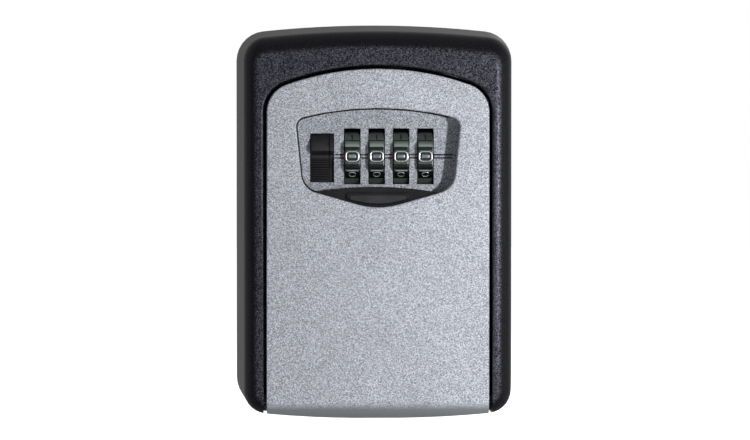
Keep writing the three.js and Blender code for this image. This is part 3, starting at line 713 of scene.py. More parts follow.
def rounded(corners: Sequence[tuple[float, float, float]], steps: int = 8) -> Points:
    """A polygon with an arc in each corner that touches both its sides.

    An arc's middle lies on the line that halves the corner, at radius / sin(half the corner's angle) from it.
    The arc starts and ends at radius / tan(half the angle) from the corner.

    Args:
        corners: two coordinates and a radius each, in order.
        steps: parts that each arc is drawn in.

    Returns:
        The outline's points.
    """
    at = np.array([c[:2] for c in corners], float)
    pieces = []
    for i, (_, _, radius) in enumerate(corners):
        if not radius:
            pieces.append(at[i:i + 1])
            continue
        back, on = at[i - 1] - at[i], at[(i + 1) % len(at)] - at[i]
        back, on = back / np.linalg.norm(back), on / np.linalg.norm(on)
        half = math.acos(float(np.clip(back @ on, -1, 1))) / 2
        middle = (back + on) / np.linalg.norm(back + on)
        centre = at[i] + middle * radius / math.sin(half)
        touch = radius / math.tan(half)
        start = at[i] + back * touch - centre
        end = at[i] + on * touch - centre
        first = math.degrees(math.atan2(start[1], start[0]))
        sweep = (math.degrees(math.atan2(end[1], end[0])) - first + 180) % 360 - 180
        pieces.append(arc(centre, radius, first, first + sweep, steps))
    return np.concatenate(pieces)


def box_outline(x0: float, x1: float, z0: float, z1: float, radius: float) -> Points:
    """A rectangle with round corners."""
    return rounded([(x1, z0, radius), (x1, z1, radius), (x0, z1, radius), (x0, z0, radius)])


def middle_outline(width: float, height: float, radius: float) -> Points:
    """A rectangle with round corners and its middle at nought."""
    return box_outline(-width / 2, width / 2, -height / 2, height / 2, radius)


def evenly(points: Points, step: float, closed: bool) -> Points:
    """Points at an even spacing along a line.

    Args:
        points: the line's points.
        step: the wanted spacing.
        closed: True if the line's end joins its start.

    Returns:
        Points that follow the line, without a repeat of the first on a closed one.
    """
    line = np.concatenate([points, points[:1]]) if closed else points
    run = np.concatenate([[0], np.cumsum(np.linalg.norm(np.diff(line, axis=0), axis=1))])
    count = max(int(round(run[-1] / step)), 4)
    wanted = np.linspace(0, run[-1], count + 1)[:-1] if closed else np.linspace(0, run[-1], count + 1)
    return np.stack([np.interp(wanted, run, line[:, k]) for k in range(line.shape[1])], 1)


def tube(path: Points, radius: float | np.ndarray, up: Sequence[float], closed: bool = False,
         sides: int = 10, flatten: float = 1.0) -> Grid:
    """Loops of a round section carried along a path.

    A loop's point at an angle a is path + radius * (side * cos a + rise * flatten * sin a), where side is at
    right angles to the path and to up, and rise to the path and to side.

    Args:
        path: points by three coordinates.
        radius: the section's radius, or one for each point of the path.
        up: direction that rise is nearest to, never along the path.
        closed: True if the path's end joins its start.
        sides: points round the section.
        flatten: the section's height over its width.

    Returns:
        Loops by points by three coordinates.
    """
    if closed:
        along = np.roll(path, -1, 0) - np.roll(path, 1, 0)
    else:
        along = np.gradient(path, axis=0)
    along /= np.linalg.norm(along, axis=1, keepdims=True)
    side = np.cross(along, np.array(up, float))
    side /= np.linalg.norm(side, axis=1, keepdims=True)
    rise = np.cross(side, along)
    angle = np.linspace(0, 2 * np.pi, sides, endpoint=False)[None, :, None]
    reach = np.reshape(radius, (-1, 1, 1))
    return path[:, None] + reach * (side[:, None] * np.cos(angle) + rise[:, None] * flatten * np.sin(angle))


def joined(name: str, pieces: Sequence[bpy.types.Object]) -> bpy.types.Object:
    """Makes several closed bodies one object.

    Args:
        name: the new object's name.
        pieces: objects, which are used up.

    Returns:
        The joined object.
    """
    points, faces, count = [], [], 0
    for piece in pieces:
        mesh = piece.data
        points.append(rows_of(mesh.vertices, "co"))
        faces.extend([[v + count for v in polygon.vertices] for polygon in mesh.polygons])
        count += len(mesh.vertices)
        bpy.data.objects.remove(piece)
        bpy.data.meshes.remove(mesh)
    return new_object(name, np.concatenate(points), faces)


def keep_creases(piece: bpy.types.Object, angle: float) -> None:
    """Shades a piece smooth, apart from edges that fold by more than an angle in degrees."""
    piece.data.set_sharp_from_angle(angle=math.radians(angle))


def even_shading(piece: bpy.types.Object) -> None:
    """Lets large faces lead the shading of a piece, with its creases kept."""
    weighted = piece.modifiers.new("even shading", "WEIGHTED_NORMAL")
    weighted.keep_sharp = True


def mark_grained(piece: bpy.types.Object, slack: float = 0.4, behind: float = 0.9) -> None:
    """Stores on each face of a hollow casting, as 1 or 0, whether its enamel is grained: inside and behind.

    A face lies inside where some corner of the casting reaches further along the face's own direction than
    the face does, by more than slack.

    Args:
        piece: the casting, closed and with its faces turned outwards.
        slack: in millimetres.
        behind: share of a face's direction that points into the wall, past which it counts as the back.
    """
    mesh = piece.data
    normals = rows_of(mesh.polygons, "normal")
    middles = rows_of(mesh.polygons, "center")
    reach = (normals @ rows_of(mesh.vertices, "co").T).max(1) - (normals * middles).sum(1)
    grained = (reach > slack * MM) | (normals[:, 1] > behind)
    attribute = mesh.attributes.new("grained", "FLOAT", "FACE")
    attribute.data.foreach_set("value", grained.astype(np.float32))


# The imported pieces


@dataclass
class Packed:
    """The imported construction: where each piece lies, and which body carries it."""

    nodes: dict[str, bpy.types.Object]
    carriers: dict[str, str]
    materials: dict[str, bpy.types.Material] = field(default_factory=dict)

    @classmethod
    def load(cls) -> "Packed":
        """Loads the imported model.

        Returns:
            The construction with its bodies.
        """
        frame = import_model()
        bodies = frame["record"]["behaviour"]["bodies"]
        carriers = {node: body for body, members in bodies.items() for node in members}
        return cls(frame["nodes"], carriers)

    def paint(self, piece: bpy.types.Object, finish: Finish) -> None:
        """Gives a piece its one finish.

        Args:
            piece: the piece.
            finish: its finish.
        """
        if finish.name not in self.materials:
            self.materials[finish.name] = finish.material()
        material = self.materials[finish.name]
        if piece.material_slots:
            piece.material_slots[0].material = material
        else:
            piece.data.materials.append(material)

    def dress(self, piece: bpy.types.Object, finish: Finish, carrier: str, *nodes: str) -> bpy.types.Object:
        """Finishes a new piece, and lets it ride in the place of packed ones.

        Args:
            piece: the new piece.
            finish: its finish.
            carrier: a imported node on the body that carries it.
            *nodes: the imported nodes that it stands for.

        Returns:
            The piece.
        """
        self.paint(piece, finish)
        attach(piece, self.carriers[carrier])
        if nodes:
            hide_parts(*nodes)
        LOG.info("made %s: %d faces", piece.name, len(piece.data.polygons))
        return piece

    def box(self, node: str) -> tuple[np.ndarray, np.ndarray]:
        """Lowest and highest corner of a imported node, in millimetres."""
        low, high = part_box(node)
        return np.array(low) / MM, np.array(high) / MM

    def middle(self, node: str) -> np.ndarray:
        """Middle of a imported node's box, in millimetres."""
        return sum(self.box(node)) / 2


@dataclass
class SoftEdges:
    """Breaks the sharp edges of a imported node, as casting, moulding or tumbling does."""

    crease: float = 30           # edges that fold by fewer degrees stay as they are
    segments: int = 3            # parts that each round is drawn in

    def group(self, name: str) -> bpy.types.NodeTree:
        """Node group that joins loose triangles, smooths the shading and marks the edges to round.

        An edge is rounded if it folds by more than the crease angle.

        Args:
            name: the node that the group is for.

        Returns:
            The group, for a Nodes modifier.
        """
        tree = bpy.data.node_groups.new(f"edges of {name}", "GeometryNodeTree")
        for way in ("INPUT", "OUTPUT"):
            tree.interface.new_socket("Geometry", in_out=way, socket_type="NodeSocketGeometry")
        shape = add_node(tree, "NodeGroupInput").outputs["Geometry"]
        fold = add_node(tree, "GeometryNodeInputMeshEdgeAngle")
        folded = add_node(tree, "FunctionNodeCompare", {"data_type": "FLOAT", "operation": "GREATER_THAN",
                                                        0: fold.outputs["Unsigned Angle"],
                                                        1: math.radians(self.crease)})
        steps = [("GeometryNodeRemoveAttribute", {"Name": "custom_normal"}, {}),
                 ("GeometryNodeMergeByDistance", {"Distance": WELD * MM}, {}),
                 ("GeometryNodeStoreNamedAttribute",
                  {"domain": "EDGE", "data_type": "FLOAT", "Name": "bevel_weight_edge"},
                  {"Value": folded.outputs["Result"]}),
                 ("GeometryNodeSetShadeSmooth", {"domain": "FACE", "Shade Smooth": True}, {}),
                 ("GeometryNodeSetShadeSmooth", {"domain": "EDGE", "Shade Smooth": True}, {})]
        for kind, settings, links in steps:
            shape = add_node(tree, kind, settings, Geometry=shape, **links).outputs["Geometry"]
        add_node(tree, "NodeGroupOutput", Geometry=shape)
        return tree

    def apply(self, node: bpy.types.Object, radius: float) -> None:
        """Adds the modifiers that join the facets, round the edges and even out the shading.

        Args:
            node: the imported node.
            radius: radius of the broken edges, in millimetres.
        """
        cleaner = node.modifiers.new("join facets", "NODES")
        cleaner.node_group = self.group(node.name)
        bevel = node.modifiers.new("broken edges", "BEVEL")
        bevel.width = radius * MM
        bevel.segments = self.segments
        bevel.limit_method = "WEIGHT"
        bevel.miter_outer = "MITER_SHARP"
        even_shading(node)


@dataclass
class RoundedFace:
    """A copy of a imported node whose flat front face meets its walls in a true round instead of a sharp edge.

    The front face is taken off, the walls are cut back by the radius, a quarter round is laid along every
    edge where a wall meets the face squarely, and the space between the rounds is filled again. Along an edge
    that folds less, the face may fall away in a low crown.
    """

    front: float                             # depth of the face
    radius: Callable[[Points], np.ndarray]   # gives the round's radius at each corner of a border
    crown: tuple[float, float] = (0.0, 0.0)  # width and fall of the crown
    square: float = 60.0                     # walls that fold by more degrees than this get the round
    fade: float = 1.6                        # length over which a round runs out beside an edge without one
    steps: int = 5                           # parts that each round is drawn in
    crease: float = 30.0                     # edges that fold by more degrees stay sharp
    level_slack: float = 0.03                # how far behind the front a corner of the face may lie
    seam: float = 0.001                      # corners of the new piece nearer than this become one

    def merged(self, node: bpy.types.Object) -> tuple[Points, np.ndarray]:
        """Welds a copy of a node's mesh.

        Args:
            node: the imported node.

        Returns:
            Its corners in millimetres, and its triangles.
        """
        work = bmesh.new()
        work.from_mesh(node.data)
        bmesh.ops.remove_doubles(work, verts=work.verts, dist=WELD * MM)
        mesh = bpy.data.meshes.new("welded")
        work.to_mesh(mesh)
        work.free()
        mesh.calc_loop_triangles()
        points = rows_of(mesh.vertices, "co") / MM
        triangles = rows_of(mesh.loop_triangles, "vertices", int)
        bpy.data.meshes.remove(mesh)
        return points, triangles

    def rims(self, points: Points, flat: np.ndarray,
             walls: np.ndarray) -> list[tuple[np.ndarray, np.ndarray]]:
        """The face's closed border lines: corner numbers, and True for each edge at a square wall.

        Every edge of a face triangle that no other face triangle shares lies on a border, and keeps the
        triangle's direction, so the face is always on the same side of the line. A wall's fold is the angle
        between its direction and the face's, which looks along minus Y.

        Args:
            points: all corners.
            flat: triangles of the face.
            walls: all other triangles.

        Returns:
            The lines.
        """
        edges = np.concatenate([flat[:, [0, 1]], flat[:, [1, 2]], flat[:, [2, 0]]])
        _, place, count = np.unique(np.sort(edges, 1), axis=0, return_inverse=True, return_counts=True)
        border = edges[count[place.ravel()] == 1]
        first, second, third = points[walls].transpose(1, 0, 2)
        normal = np.cross(second - first, third - first)
        normal /= np.maximum(np.linalg.norm(normal, axis=1, keepdims=True), 1e-12)
        own = np.concatenate([walls[:, [0, 1]], walls[:, [1, 2]], walls[:, [2, 0]]])
        fold = np.degrees(np.arccos(np.clip(-np.tile(normal[:, 1], 3), -1, 1)))
        folds = {(b, a): angle for (a, b), angle in zip(own.tolist(), fold.tolist())}
        following = dict(border.tolist())
        lines = []
        while following:
            line = [next(iter(following))]
            while (step := following.pop(line[-1])) != line[0]:
                line.append(step)
            square = [folds.get((a, b), 0.0) > self.square for a, b in zip(line, line[1:] + line[:1])]
            lines.append((np.array(line), np.array(square)))
        return lines

    def share(self, line: Points, kept: np.ndarray) -> np.ndarray:
        """How much of a round or a crown each corner of a border gets.

        It is 1, and falls evenly to 0 over the length of fade towards the edges that aren't kept.

        Args:
            line: level places and heights of the border's corners.
            kept: True for each edge that has the round or the crown.

        Returns:
            One share for each corner.
        """
        run = np.linalg.norm(np.roll(line, -1, 0) - line, axis=1)
        place = np.concatenate([[0], np.cumsum(run)])
        bare = np.flatnonzero(~kept)
        if not len(bare):
            return np.ones(len(line))
        ends = np.concatenate([place[bare], place[bare + 1]])
        gap = np.abs(place[:-1, None] - ends[None])
        return np.clip(np.minimum(gap, place[-1] - gap).min(1) / self.fade, 0, 1)

    def build(self, name: str, node: bpy.types.Object) -> bpy.types.Object:
        """Makes the rounded copy.

        At a border corner with a round, a turn t from 0 to 90 degrees gives a point at radius * (1 - cos t)
        into the face and radius * (1 - sin t) behind it. With a crown, u from 0 to 1 gives one at width * u
        into the face and fall * (1 - u) squared behind it.

        Args:
            name: the new piece's name.
            node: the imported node.

        Returns:
            The new piece.
        """
        points, triangles = self.merged(node)
        level = points[triangles][:, :, 1].max(1) < self.front + self.level_slack
        flat, walls = triangles[level], triangles[~level]
        faces: list[list[int]] = walls.tolist()
        added, fill, numbers = [points], [], []
        count = len(points)
        width, fall = self.crown
        for line, square in self.rims(points, flat, walls):
            outline = points[line][:, [0, 2]]
            radius = self.radius(outline) * self.share(outline, square)
            low = self.share(outline, ~square)
            ring = line
            for u in np.linspace(0, 1, self.steps + 1):
                turn = u * np.pi / 2
                drawn = inset(outline, (radius * (1 - np.cos(turn)) + low * width * u)[:, None])
                depth = self.front + radius * (1 - np.sin(turn)) + low * fall * (1 - u) ** 2
                if u == 0:
                    points[line, 1] = depth
                    continue
                added.append(np.stack([drawn[:, 0], depth, drawn[:, 1]], 1))
                following = np.arange(count, count + len(line))
                count += len(line)
                quads = np.stack([ring, np.roll(ring, -1), np.roll(following, -1), following], 1)
                faces.extend(quads.tolist())
                ring = following
            fill.append([Vector((x, z, 0.0)) for x, z in drawn.tolist()])
            numbers.append(ring)
        numbers = np.concatenate(numbers)
        faces.extend(numbers[np.array(tessellate_polygon(fill))].tolist())
        piece = mesh_from(name, np.concatenate(added), faces)
        work = bmesh.new()
        work.from_mesh(piece.data)
        bmesh.ops.remove_doubles(work, verts=work.verts, dist=self.seam * MM)
        bmesh.ops.recalc_face_normals(work, faces=work.faces)
        work.to_mesh(piece.data)
        work.free()
        keep_creases(piece, self.crease)
        even_shading(piece)
        return piece


# Sub-assemblies


@dataclass
class Dials:
    """Four ten-sided number dials, each with grip ridges between its faces and a figure on every face."""

    packed: Packed
    count: int = 4
    faces: int = 10
    radius: float = 10.0
    ridge: float = 0.45          # height of a grip ridge over a face's middle
    flat_angle: float = 8.5      # degrees from a face's middle to its edge
    crest_angle: float = 1.2     # half of the round crest of a ridge, in degrees
    rim: float = 0.28            # round on the dial's two rims
    rim_rub: float = 0.1         # how much more the rims are rubbed
    crease: float = 12.0         # edges that fold by more degrees stay sharp
    bore: float = 3.7
    groove: float = 0.45         # width of a figure's dark stroke
    paint_flat: float = 0.14     # height of the dark strokes over their width
    figure_height: float = 2.2
    figure_width: float = 2.3
    figure_step: float = 0.12    # between the points of its strokes
    fine_bead: float = 0.09      # half of the bright edge round a loop
    fine_bead_flat: float = 0.6
    fine_bead_lift: float = 0.01
    lip_off: float = 1.72        # from a face's middle to the lip along its upper edge
    lip_short: float = 0.1       # how far the lip stays inside the nought's outline at each end
    lip_round: float = 0.1       # half of its thickness
    lip_lift: float = 0.05
    # At rest on the nought, high levels on the ridges' upper slopes are partly rubbed metal and partly painted
    # highlight, and low levels beside the ridges and at the top of the window are painted shade.
    rubbed: Sequence[tuple[float, float]] = (     # turns in degrees, and the level there of rubbing and painted light
        (-60.0, 0.6), (-52.0, 0.6), (-43.0, 0.5), (-41.5, -0.1), (-25.4, -0.1), (-24.8, 1.0), (-23.0, 1.0),
        (-22.2, -0.2), (-13.8, -0.15), (-12.8, 0.12), (-9.4, 0.12), (-8.4, 0.0), (9.0, 0.0), (10.0, -0.15),
        (16.4, -0.15), (17.0, 1.0), (27.2, 0.95), (28.2, -0.1), (29.6, 0.0), (30.4, 0.4), (44.2, 0.35),
        (45.2, -0.3), (60.0, -0.3), (90.0, 0.2))
    frame_width: float = 4.1     # bright outline of the nought
    frame_height: float = 2.95
    frame_corner: float = 0.95
    frame_side: float = 0.42     # thickness of its upright strokes
    frame_level: float = 0.15    # and of its level ones
    frame_flat: float = 0.55     # its height over its thickness
    frame_lift: float = 0.02     # of its middle line over the face
    frame_step: float = 0.08     # between its points
    ring_corner: float = 0.589   # of the dark ring inside it
    core_width: float = 2.5
    core_height: float = 1.3
    core_corner: float = 0.45
    core_crest: float = 0.28     # how far the core stands out of the face
    core_round: float = 0.42
    core_root: float = 0.2       # how deep it goes into the dial
    core_foot: float = 0.02      # round of its rear edge, in the dial

    def rim_radius(self, angle: np.ndarray) -> np.ndarray:
        """Distance from the axis to the dial's surface.

        Within flat_angle of a face's middle it is flat, so the distance is flat / cos(angle). From there it
        rises evenly to a crest halfway to the next face.

        Args:
            angle: turns from the index face, in degrees.

        Returns:
            Distances in millimetres.
        """
        pitch = 360 / self.faces
        off = np.abs((angle + pitch / 2) % pitch - pitch / 2)
        flat = self.radius - self.ridge
        edge = flat / math.cos(math.radians(self.flat_angle))
        level = flat / np.cos(np.radians(np.minimum(off, self.flat_angle)))
        crest = pitch / 2 - self.crest_angle
        climb = np.clip((off - self.flat_angle) / (crest - self.flat_angle), 0, 1)
        return np.where(off <= self.flat_angle, level, edge + (self.radius - edge) * climb)

    def wear_and_painted_light(self, angle: np.ndarray) -> np.ndarray:
        """Level of rubbing and painted light on the rim at a turn: above 0 brighter, and below 0 darker.

        The bright upper slopes of the ridges are partly rubbed metal, since the safe mostly stands locked at a
        row of noughts, and partly a painted highlight as from light above; the dark bands beside the ridges
        and at the top of the window are painted shade.

        Args:
            angle: turns from the index face, in degrees.

        Returns:
            Levels from the marks in rubbed, and evenly between them.
        """
        places, levels = zip(*self.rubbed)
        return np.interp((angle + 180) % 360 - 180, places, levels)

    def body(self, name: str, centre: Sequence[float], half: float) -> bpy.types.Object:
        """One dial: its section across the rim is carried round the axis.

        The section runs from the bore up the left side, over the rim with a quarter round at each end, and
        down the right side. Its outer part follows rim_radius. It is repeated at the turns in marks, closest
        where the flat part of a face ends, and at those in rubbed.

        Args:
            name: the piece's name.
            centre: the middle of the dial.
            half: half of the dial's width.

        Returns:
            The dial.
        """
        pitch = 360 / self.faces
        marks = np.array([0, 0.5, 0.94, 1, 1.02, 1.1, 1.5, 1.9]) * self.flat_angle
        crest = pitch / 2 - self.crest_angle
        own = np.unique(np.concatenate([marks[marks < crest], [crest, pitch / 2]]))
        turns = np.concatenate([own, pitch - own[1:-1][::-1]])
        angle = np.concatenate([turns + pitch * i for i in range(self.faces)])
        angle = np.unique(np.round(np.concatenate([angle, [mark % 360 for mark, _ in self.rubbed]]), 2))
        quarter = np.linspace(0, np.pi / 2, 4)
        fall = self.rim * (1 - np.sin(quarter))
        run = half - self.rim * (1 - np.cos(quarter))
        drop = np.concatenate([fall, [0.0], fall[::-1]])
        across = np.concatenate([-run, [0.0], run[::-1]])
        outer = self.rim_radius(angle)[:, None] - drop[None]
        inner = np.full((len(angle), 1), self.bore)
        radius = np.concatenate([inner, outer, inner], 1)
        x = np.concatenate([[-half], across, [half]])[None] + np.zeros_like(radius)
        theta = np.radians(angle)[:, None]
        grid = np.stack([x, -radius * np.cos(theta), radius * np.sin(theta)], -1) + np.array(centre)
        piece = skin(name, grid, row_loop=True)
        # levels of rubbing and painted light from the table, with the rims rubbed a little more
        rubbed = self.wear_and_painted_light(angle)[:, None] + np.where(drop[None] > 0, self.rim_rub, 0)
        at_bore = np.zeros((len(angle), 1))
        levels = np.concatenate([at_bore, np.clip(rubbed, -1, 1), at_bore], 1)
        attribute = piece.data.attributes.new("wear_and_painted_light", "FLOAT", "POINT")
        attribute.data.foreach_set("value", levels.astype(np.float32).ravel())
        keep_creases(piece, self.crease)
        return piece

    def strokes(self, figure: int) -> list[tuple[Points, bool]]:
        """Centre lines of a figure, as wide and high as one unit each.

        Args:
            figure: from 1 to 9.

        Returns:
            Each line with True if it is a closed loop.
        """
        hook = [(0.42, 0.5), (-0.38, 0.5), (-0.42, 0.06)]
        foot = [(-0.5, -0.5), (0.5, -0.5)]
        shapes: dict[int, list[tuple[Points, bool]]] = {
            1: [(np.array([(0, -0.5), (0, 0.5)]), False)],
            2: [(np.concatenate([oval(0, 0.22, 0.46, 0.28, 165, -35), foot]), False)],
            3: [(np.concatenate([oval(0, 0.25, 0.42, 0.25, 150, -90), oval(0, -0.25, 0.48, 0.25, 90, -150)]),
                 False)],
            4: [(np.array([(0.2, -0.5), (0.2, 0.5), (-0.5, -0.18), (0.5, -0.18)]), False)],
            5: [(np.concatenate([hook, oval(-0.02, -0.18, 0.48, 0.32, 130, -140)]), False)],
            6: [(oval(0, -0.2, 0.46, 0.3), True), (oval(0.35, -0.2, 0.81, 0.7, 180, 105), False)],
            7: [(np.array([(-0.5, 0.5), (0.5, 0.5), (-0.1, -0.5)]), False)],
            8: [(oval(0, 0.25, 0.4, 0.25), True), (oval(0, -0.25, 0.48, 0.25), True)],
            9: [(oval(0, 0.2, 0.46, 0.3), True), (oval(-0.35, 0.2, 0.81, 0.7, 0, -75), False)],
        }
        return shapes[figure]

    def outward(self, face: int) -> tuple[float, float, float]:
        """Direction in which a face looks, counted upwards from the index face."""
        angle = math.radians(360 / self.faces * face)
        return 0.0, -math.cos(angle), math.sin(angle)

    def on_face(self, flat: Points, face: int, centre: Sequence[float], lift: float) -> Points:
        """Lays points on a dial's face.

        Args:
            flat: places across the dial and up the face.
            face: number of faces above the index.
            centre: the middle of the dial.
            lift: height over the face.

        Returns:
            Points by three coordinates.
        """
        out = np.array(self.outward(face))
        side = np.array([1, 0, 0])
        up = np.cross(out, side)
        distance = self.radius - self.ridge + lift
        return np.array(centre) + flat[:, :1] * side + flat[:, 1:] * up + out * distance

    def bar(self, name: str, path: Points, half: float | np.ndarray, closed: bool, face: int, flatten: float,
            sides: int = 8) -> bpy.types.Object:
        """A flattened round bar along a path on a face.

        Args:
            name: the dial's name.
            path: the bar's middle line.
            half: half of its width, or one for each point of the path.
            closed: True if the path's end joins its start.
            face: number of faces above the index.
            flatten: its height over its width.
            sides: points round its section.

        Returns:
            The bar.
        """
        return skin(name, tube(path, half, self.outward(face), closed, sides, flatten), closed)

    def nought(self, name: str, centre: Sequence[float]) -> dict[str, list[bpy.types.Object]]:
        """The nought: a bright outline as wide as the dial, a dark ring inside it and a raised core.

        The outline's half thickness swings between that of its level and of its upright strokes with the
        square of the share of each point's direction that is upright.

        Args:
            name: the dial's name.
            centre: the middle of the dial.

        Returns:
            Bodies by kind: bead, infill and core.
        """
        wide, high = self.frame_width - self.frame_side, self.frame_height - self.frame_level
        line = evenly(middle_outline(wide, high, self.frame_corner), self.frame_step, True)
        run = np.roll(line, -1, 0) - np.roll(line, 1, 0)
        upright = (run[:, 1] / np.linalg.norm(run, axis=1)) ** 2
        half = (self.frame_level + (self.frame_side - self.frame_level) * upright) / 2
        path = self.on_face(line, 0, centre, self.frame_lift)
        bead = self.bar(name, path, half, True, 0, self.frame_flat, 10)
        wide, high = wide - self.frame_side - self.groove, high - self.frame_level - self.groove
        ring = evenly(middle_outline(wide, high, self.ring_corner), self.frame_step, True)
        path = self.on_face(ring, 0, centre, 0.0)
        infill = self.bar(name, path, self.groove / 2, True, 0, self.paint_flat)
        core = middle_outline(self.core_width, self.core_height, self.core_corner)
        face_y = float(centre[1]) - (self.radius - self.ridge)
        raised = slab(name, core + np.array([centre[0], centre[2]]), face_y - self.core_crest,
                      face_y + self.core_root, self.core_foot, Axis.Y, low_edge=self.core_round, steps=6)
        return {"bead": [bead], "infill": [infill], "core": [raised]}

    def figures(self, name: str, centre: Sequence[float]) -> dict[str, bpy.types.Object]:
        """All ten figures of a dial, with a fine lip along the upper edge of every face.

        The lip over the nought has the core's duller grey and the next one is black, which is painted shade
        for the dial at rest; the others are bright. Each is twice lip_round thick in its middle and tapers at
        its ends.

        Args:
            name: the dial's name.
            centre: the middle of the dial.

        Returns:
            The dark strokes, the bright beads and the nought's core, each as one object.
        """
        kinds = self.nought(name, centre)
        reach = self.frame_width / 2 - self.lip_short
        thin = self.lip_round * np.array([0.3, 0.8, 1, 1, 1, 1, 1, 0.8, 0.3])
        lip = np.stack([np.linspace(-reach, reach, len(thin)), np.full(len(thin), self.lip_off)], 1)
        for face in range(self.faces):
            # painted shade: the lips over the nought and over the face above it take darker finishes
            kind = {0: "core", 1: "infill"}.get(face, "bead")
            path = self.on_face(lip, face, centre, self.lip_lift)
            kinds[kind].append(self.bar(name, path, thin, False, face, 1.0, 6))
            if face == 0:
                continue
            size = np.array([self.figure_width, self.figure_height]) - self.groove
            for shape, closed in self.strokes(face):
                line = evenly(shape * size, self.figure_step, closed)
                path = self.on_face(line, face, centre, 0.0)
                kinds["infill"].append(self.bar(name, path, self.groove / 2, closed, face, self.paint_flat))
                if closed:
                    rim = inset(turning(line), -self.groove / 2)
                    path = self.on_face(rim, face, centre, self.fine_bead_lift)
                    bead = self.bar(name, path, self.fine_bead, True, face, self.fine_bead_flat)
                    kinds["bead"].append(bead)
        return {kind: joined(f"{name}_figure_{kind}", bodies) for kind, bodies in kinds.items()}

    def build(self) -> None:
        """Builds and dresses every dial with its figures."""
        finishes = {"bead": BRIGHT_NICKEL, "infill": INFILL, "core": RUBBED_ZINC}
        for number in range(1, self.count + 1):
            node = f"dial_{number}"
            low, high = self.packed.box(node)
            centre = self.packed.middle(node)
            half = float(high[0] - low[0]) / 2
            self.packed.dress(self.body(f"number_{node}", centre, half), DIAL_ZINC, node, node)
            for kind, piece in self.figures(node, centre).items():
                self.packed.dress(piece, finishes[kind], node)


@dataclass
class OpenLever:
    """The thumb lever left of the dials: a ledge to press down on, and fine ribs below it."""

    packed: Packed
    top: float = 6.5              # these heights are counted from the dials' axis
    ledge_top: float = 3.0
    ledge_bottom: float = 1.4
    hollow: float = 0.3
    rib_top: float = -0.5
    foot: float = -3.4            # below this the ribs slide behind the plate
    half: float = 3.25            # half of the thumb piece's width
    right_off: float = 3.4        # from the base's right edge to the thumb piece's middle
    foot_off: float = 0.6         # from the base's lower edge to the thumb piece's
    rib_pitch: float = 0.7
    ribs: int = 9
    rib_depth: float = 0.3
    crest: float = 1.7            # how far the ledge stands out of the recess floor
    top_off: float = 0.3          # how far behind the recess floor its top edge is
    hollow_off: float = 0.55      # from the recess floor to the hollow
    rib_off: float = 0.75         # and to the crest of the topmost rib
    base_off: float = 1.8         # and to the crests of the ribs behind the plate
    border_off: float = 0.12      # from the foot of the ribs to the plain border
    top_break: tuple[float, float] = (0.4, 0.35)     # depth and height of the broken top edge
    ledge_break: tuple[float, float] = (0.15, 0.25)  # and of the ledge's upper edge
    ledge_foot: float = 0.3       # and of its lower edge, both ways
    base_gap: float = 0.05        # from the ribs' feet to the base
    overlap: float = 0.3          # how deep the thumb piece goes into the base
    flange: float = 1.25          # plain border right of the ribs
    rib_edge: float = 0.12        # round of the ribs' ends
    edge: float = 0.22            # of the border
    base_edge: float = 0.1        # and of the base
    base_corner: float = 0.4
    crease: float = 35.0          # edges that fold by more degrees stay sharp

    def profile(self, bottom: float, axis_z: float, floor: float, back: float, ribbed: bool) -> Points:
        """Side view of the lever from its top down the front and back up behind.

        The front slopes out to the ledge, steps back into the hollow and then falls back evenly. On the ribs
        it also swings by rib_depth * |sin|, one arch to each rib.

        Args:
            bottom: height of the bottom edge.
            axis_z: height of the dials' axis.
            floor: depth of the recess floor.
            back: depth of the rear face.
            ribbed: True where the ribs are.

        Returns:
            Depths and heights.
        """
        crest = floor - self.crest
        edge = floor + self.top_off
        deep, high = self.top_break
        ledge_deep, ledge_high = self.ledge_break
        upper = np.array([(back, self.top), (edge, self.top), (edge - deep, self.top - high),
                          (crest + ledge_deep, self.ledge_top), (crest, self.ledge_top - ledge_high),
                          (crest, self.ledge_bottom + self.ledge_foot),
                          (crest + self.ledge_foot, self.ledge_bottom),
                          (floor + self.hollow_off, self.hollow)])
        z = np.linspace(axis_z + self.rib_top, bottom, self.ribs * 12 + 1)
        slope = np.interp(z, [axis_z + self.foot, axis_z + self.rib_top],
                          [floor + self.base_off + self.rib_depth, floor + self.rib_off])
        wave = np.abs(np.sin(np.pi * (z - z[0]) / self.rib_pitch))
        front = slope - (self.rib_depth * wave if ribbed else self.border_off)
        return np.concatenate([upper + np.array([0, axis_z]), np.stack([front, z], 1), [(back, bottom)]])

    def build(self) -> None:
        """Builds the lever's ribbed thumb piece, its plain border and its base plate."""
        low, high = (corner.tolist() for corner in self.packed.box("open_lever"))
        axis_z = float(self.packed.middle("dial_1")[2])
        floor = low[1] + self.crest
        middle = high[0] - self.right_off
        left, right = middle - self.half, middle + self.half
        bottom = low[2] + self.foot_off
        base_front = floor + self.base_off + self.rib_depth + self.base_gap
        ribbed, plain = (self.profile(bottom, axis_z, floor, base_front + self.overlap, ribs)
                         for ribs in (True, False))
        base = box_outline(low[0], high[0], low[2], high[2], self.base_corner)
        parts = [slab("rib", ribbed, left, right - self.flange, self.rib_edge, Axis.X),
                 slab("border", plain, right - self.flange + self.rib_edge, right, self.edge, Axis.X),
                 slab("base", base, base_front, high[1], self.base_edge, Axis.Y)]
        lever = joined("thumb_lever", parts)
        keep_creases(lever, self.crease)
        self.packed.dress(lever, BLACK_ACETAL, "open_lever", "open_lever")


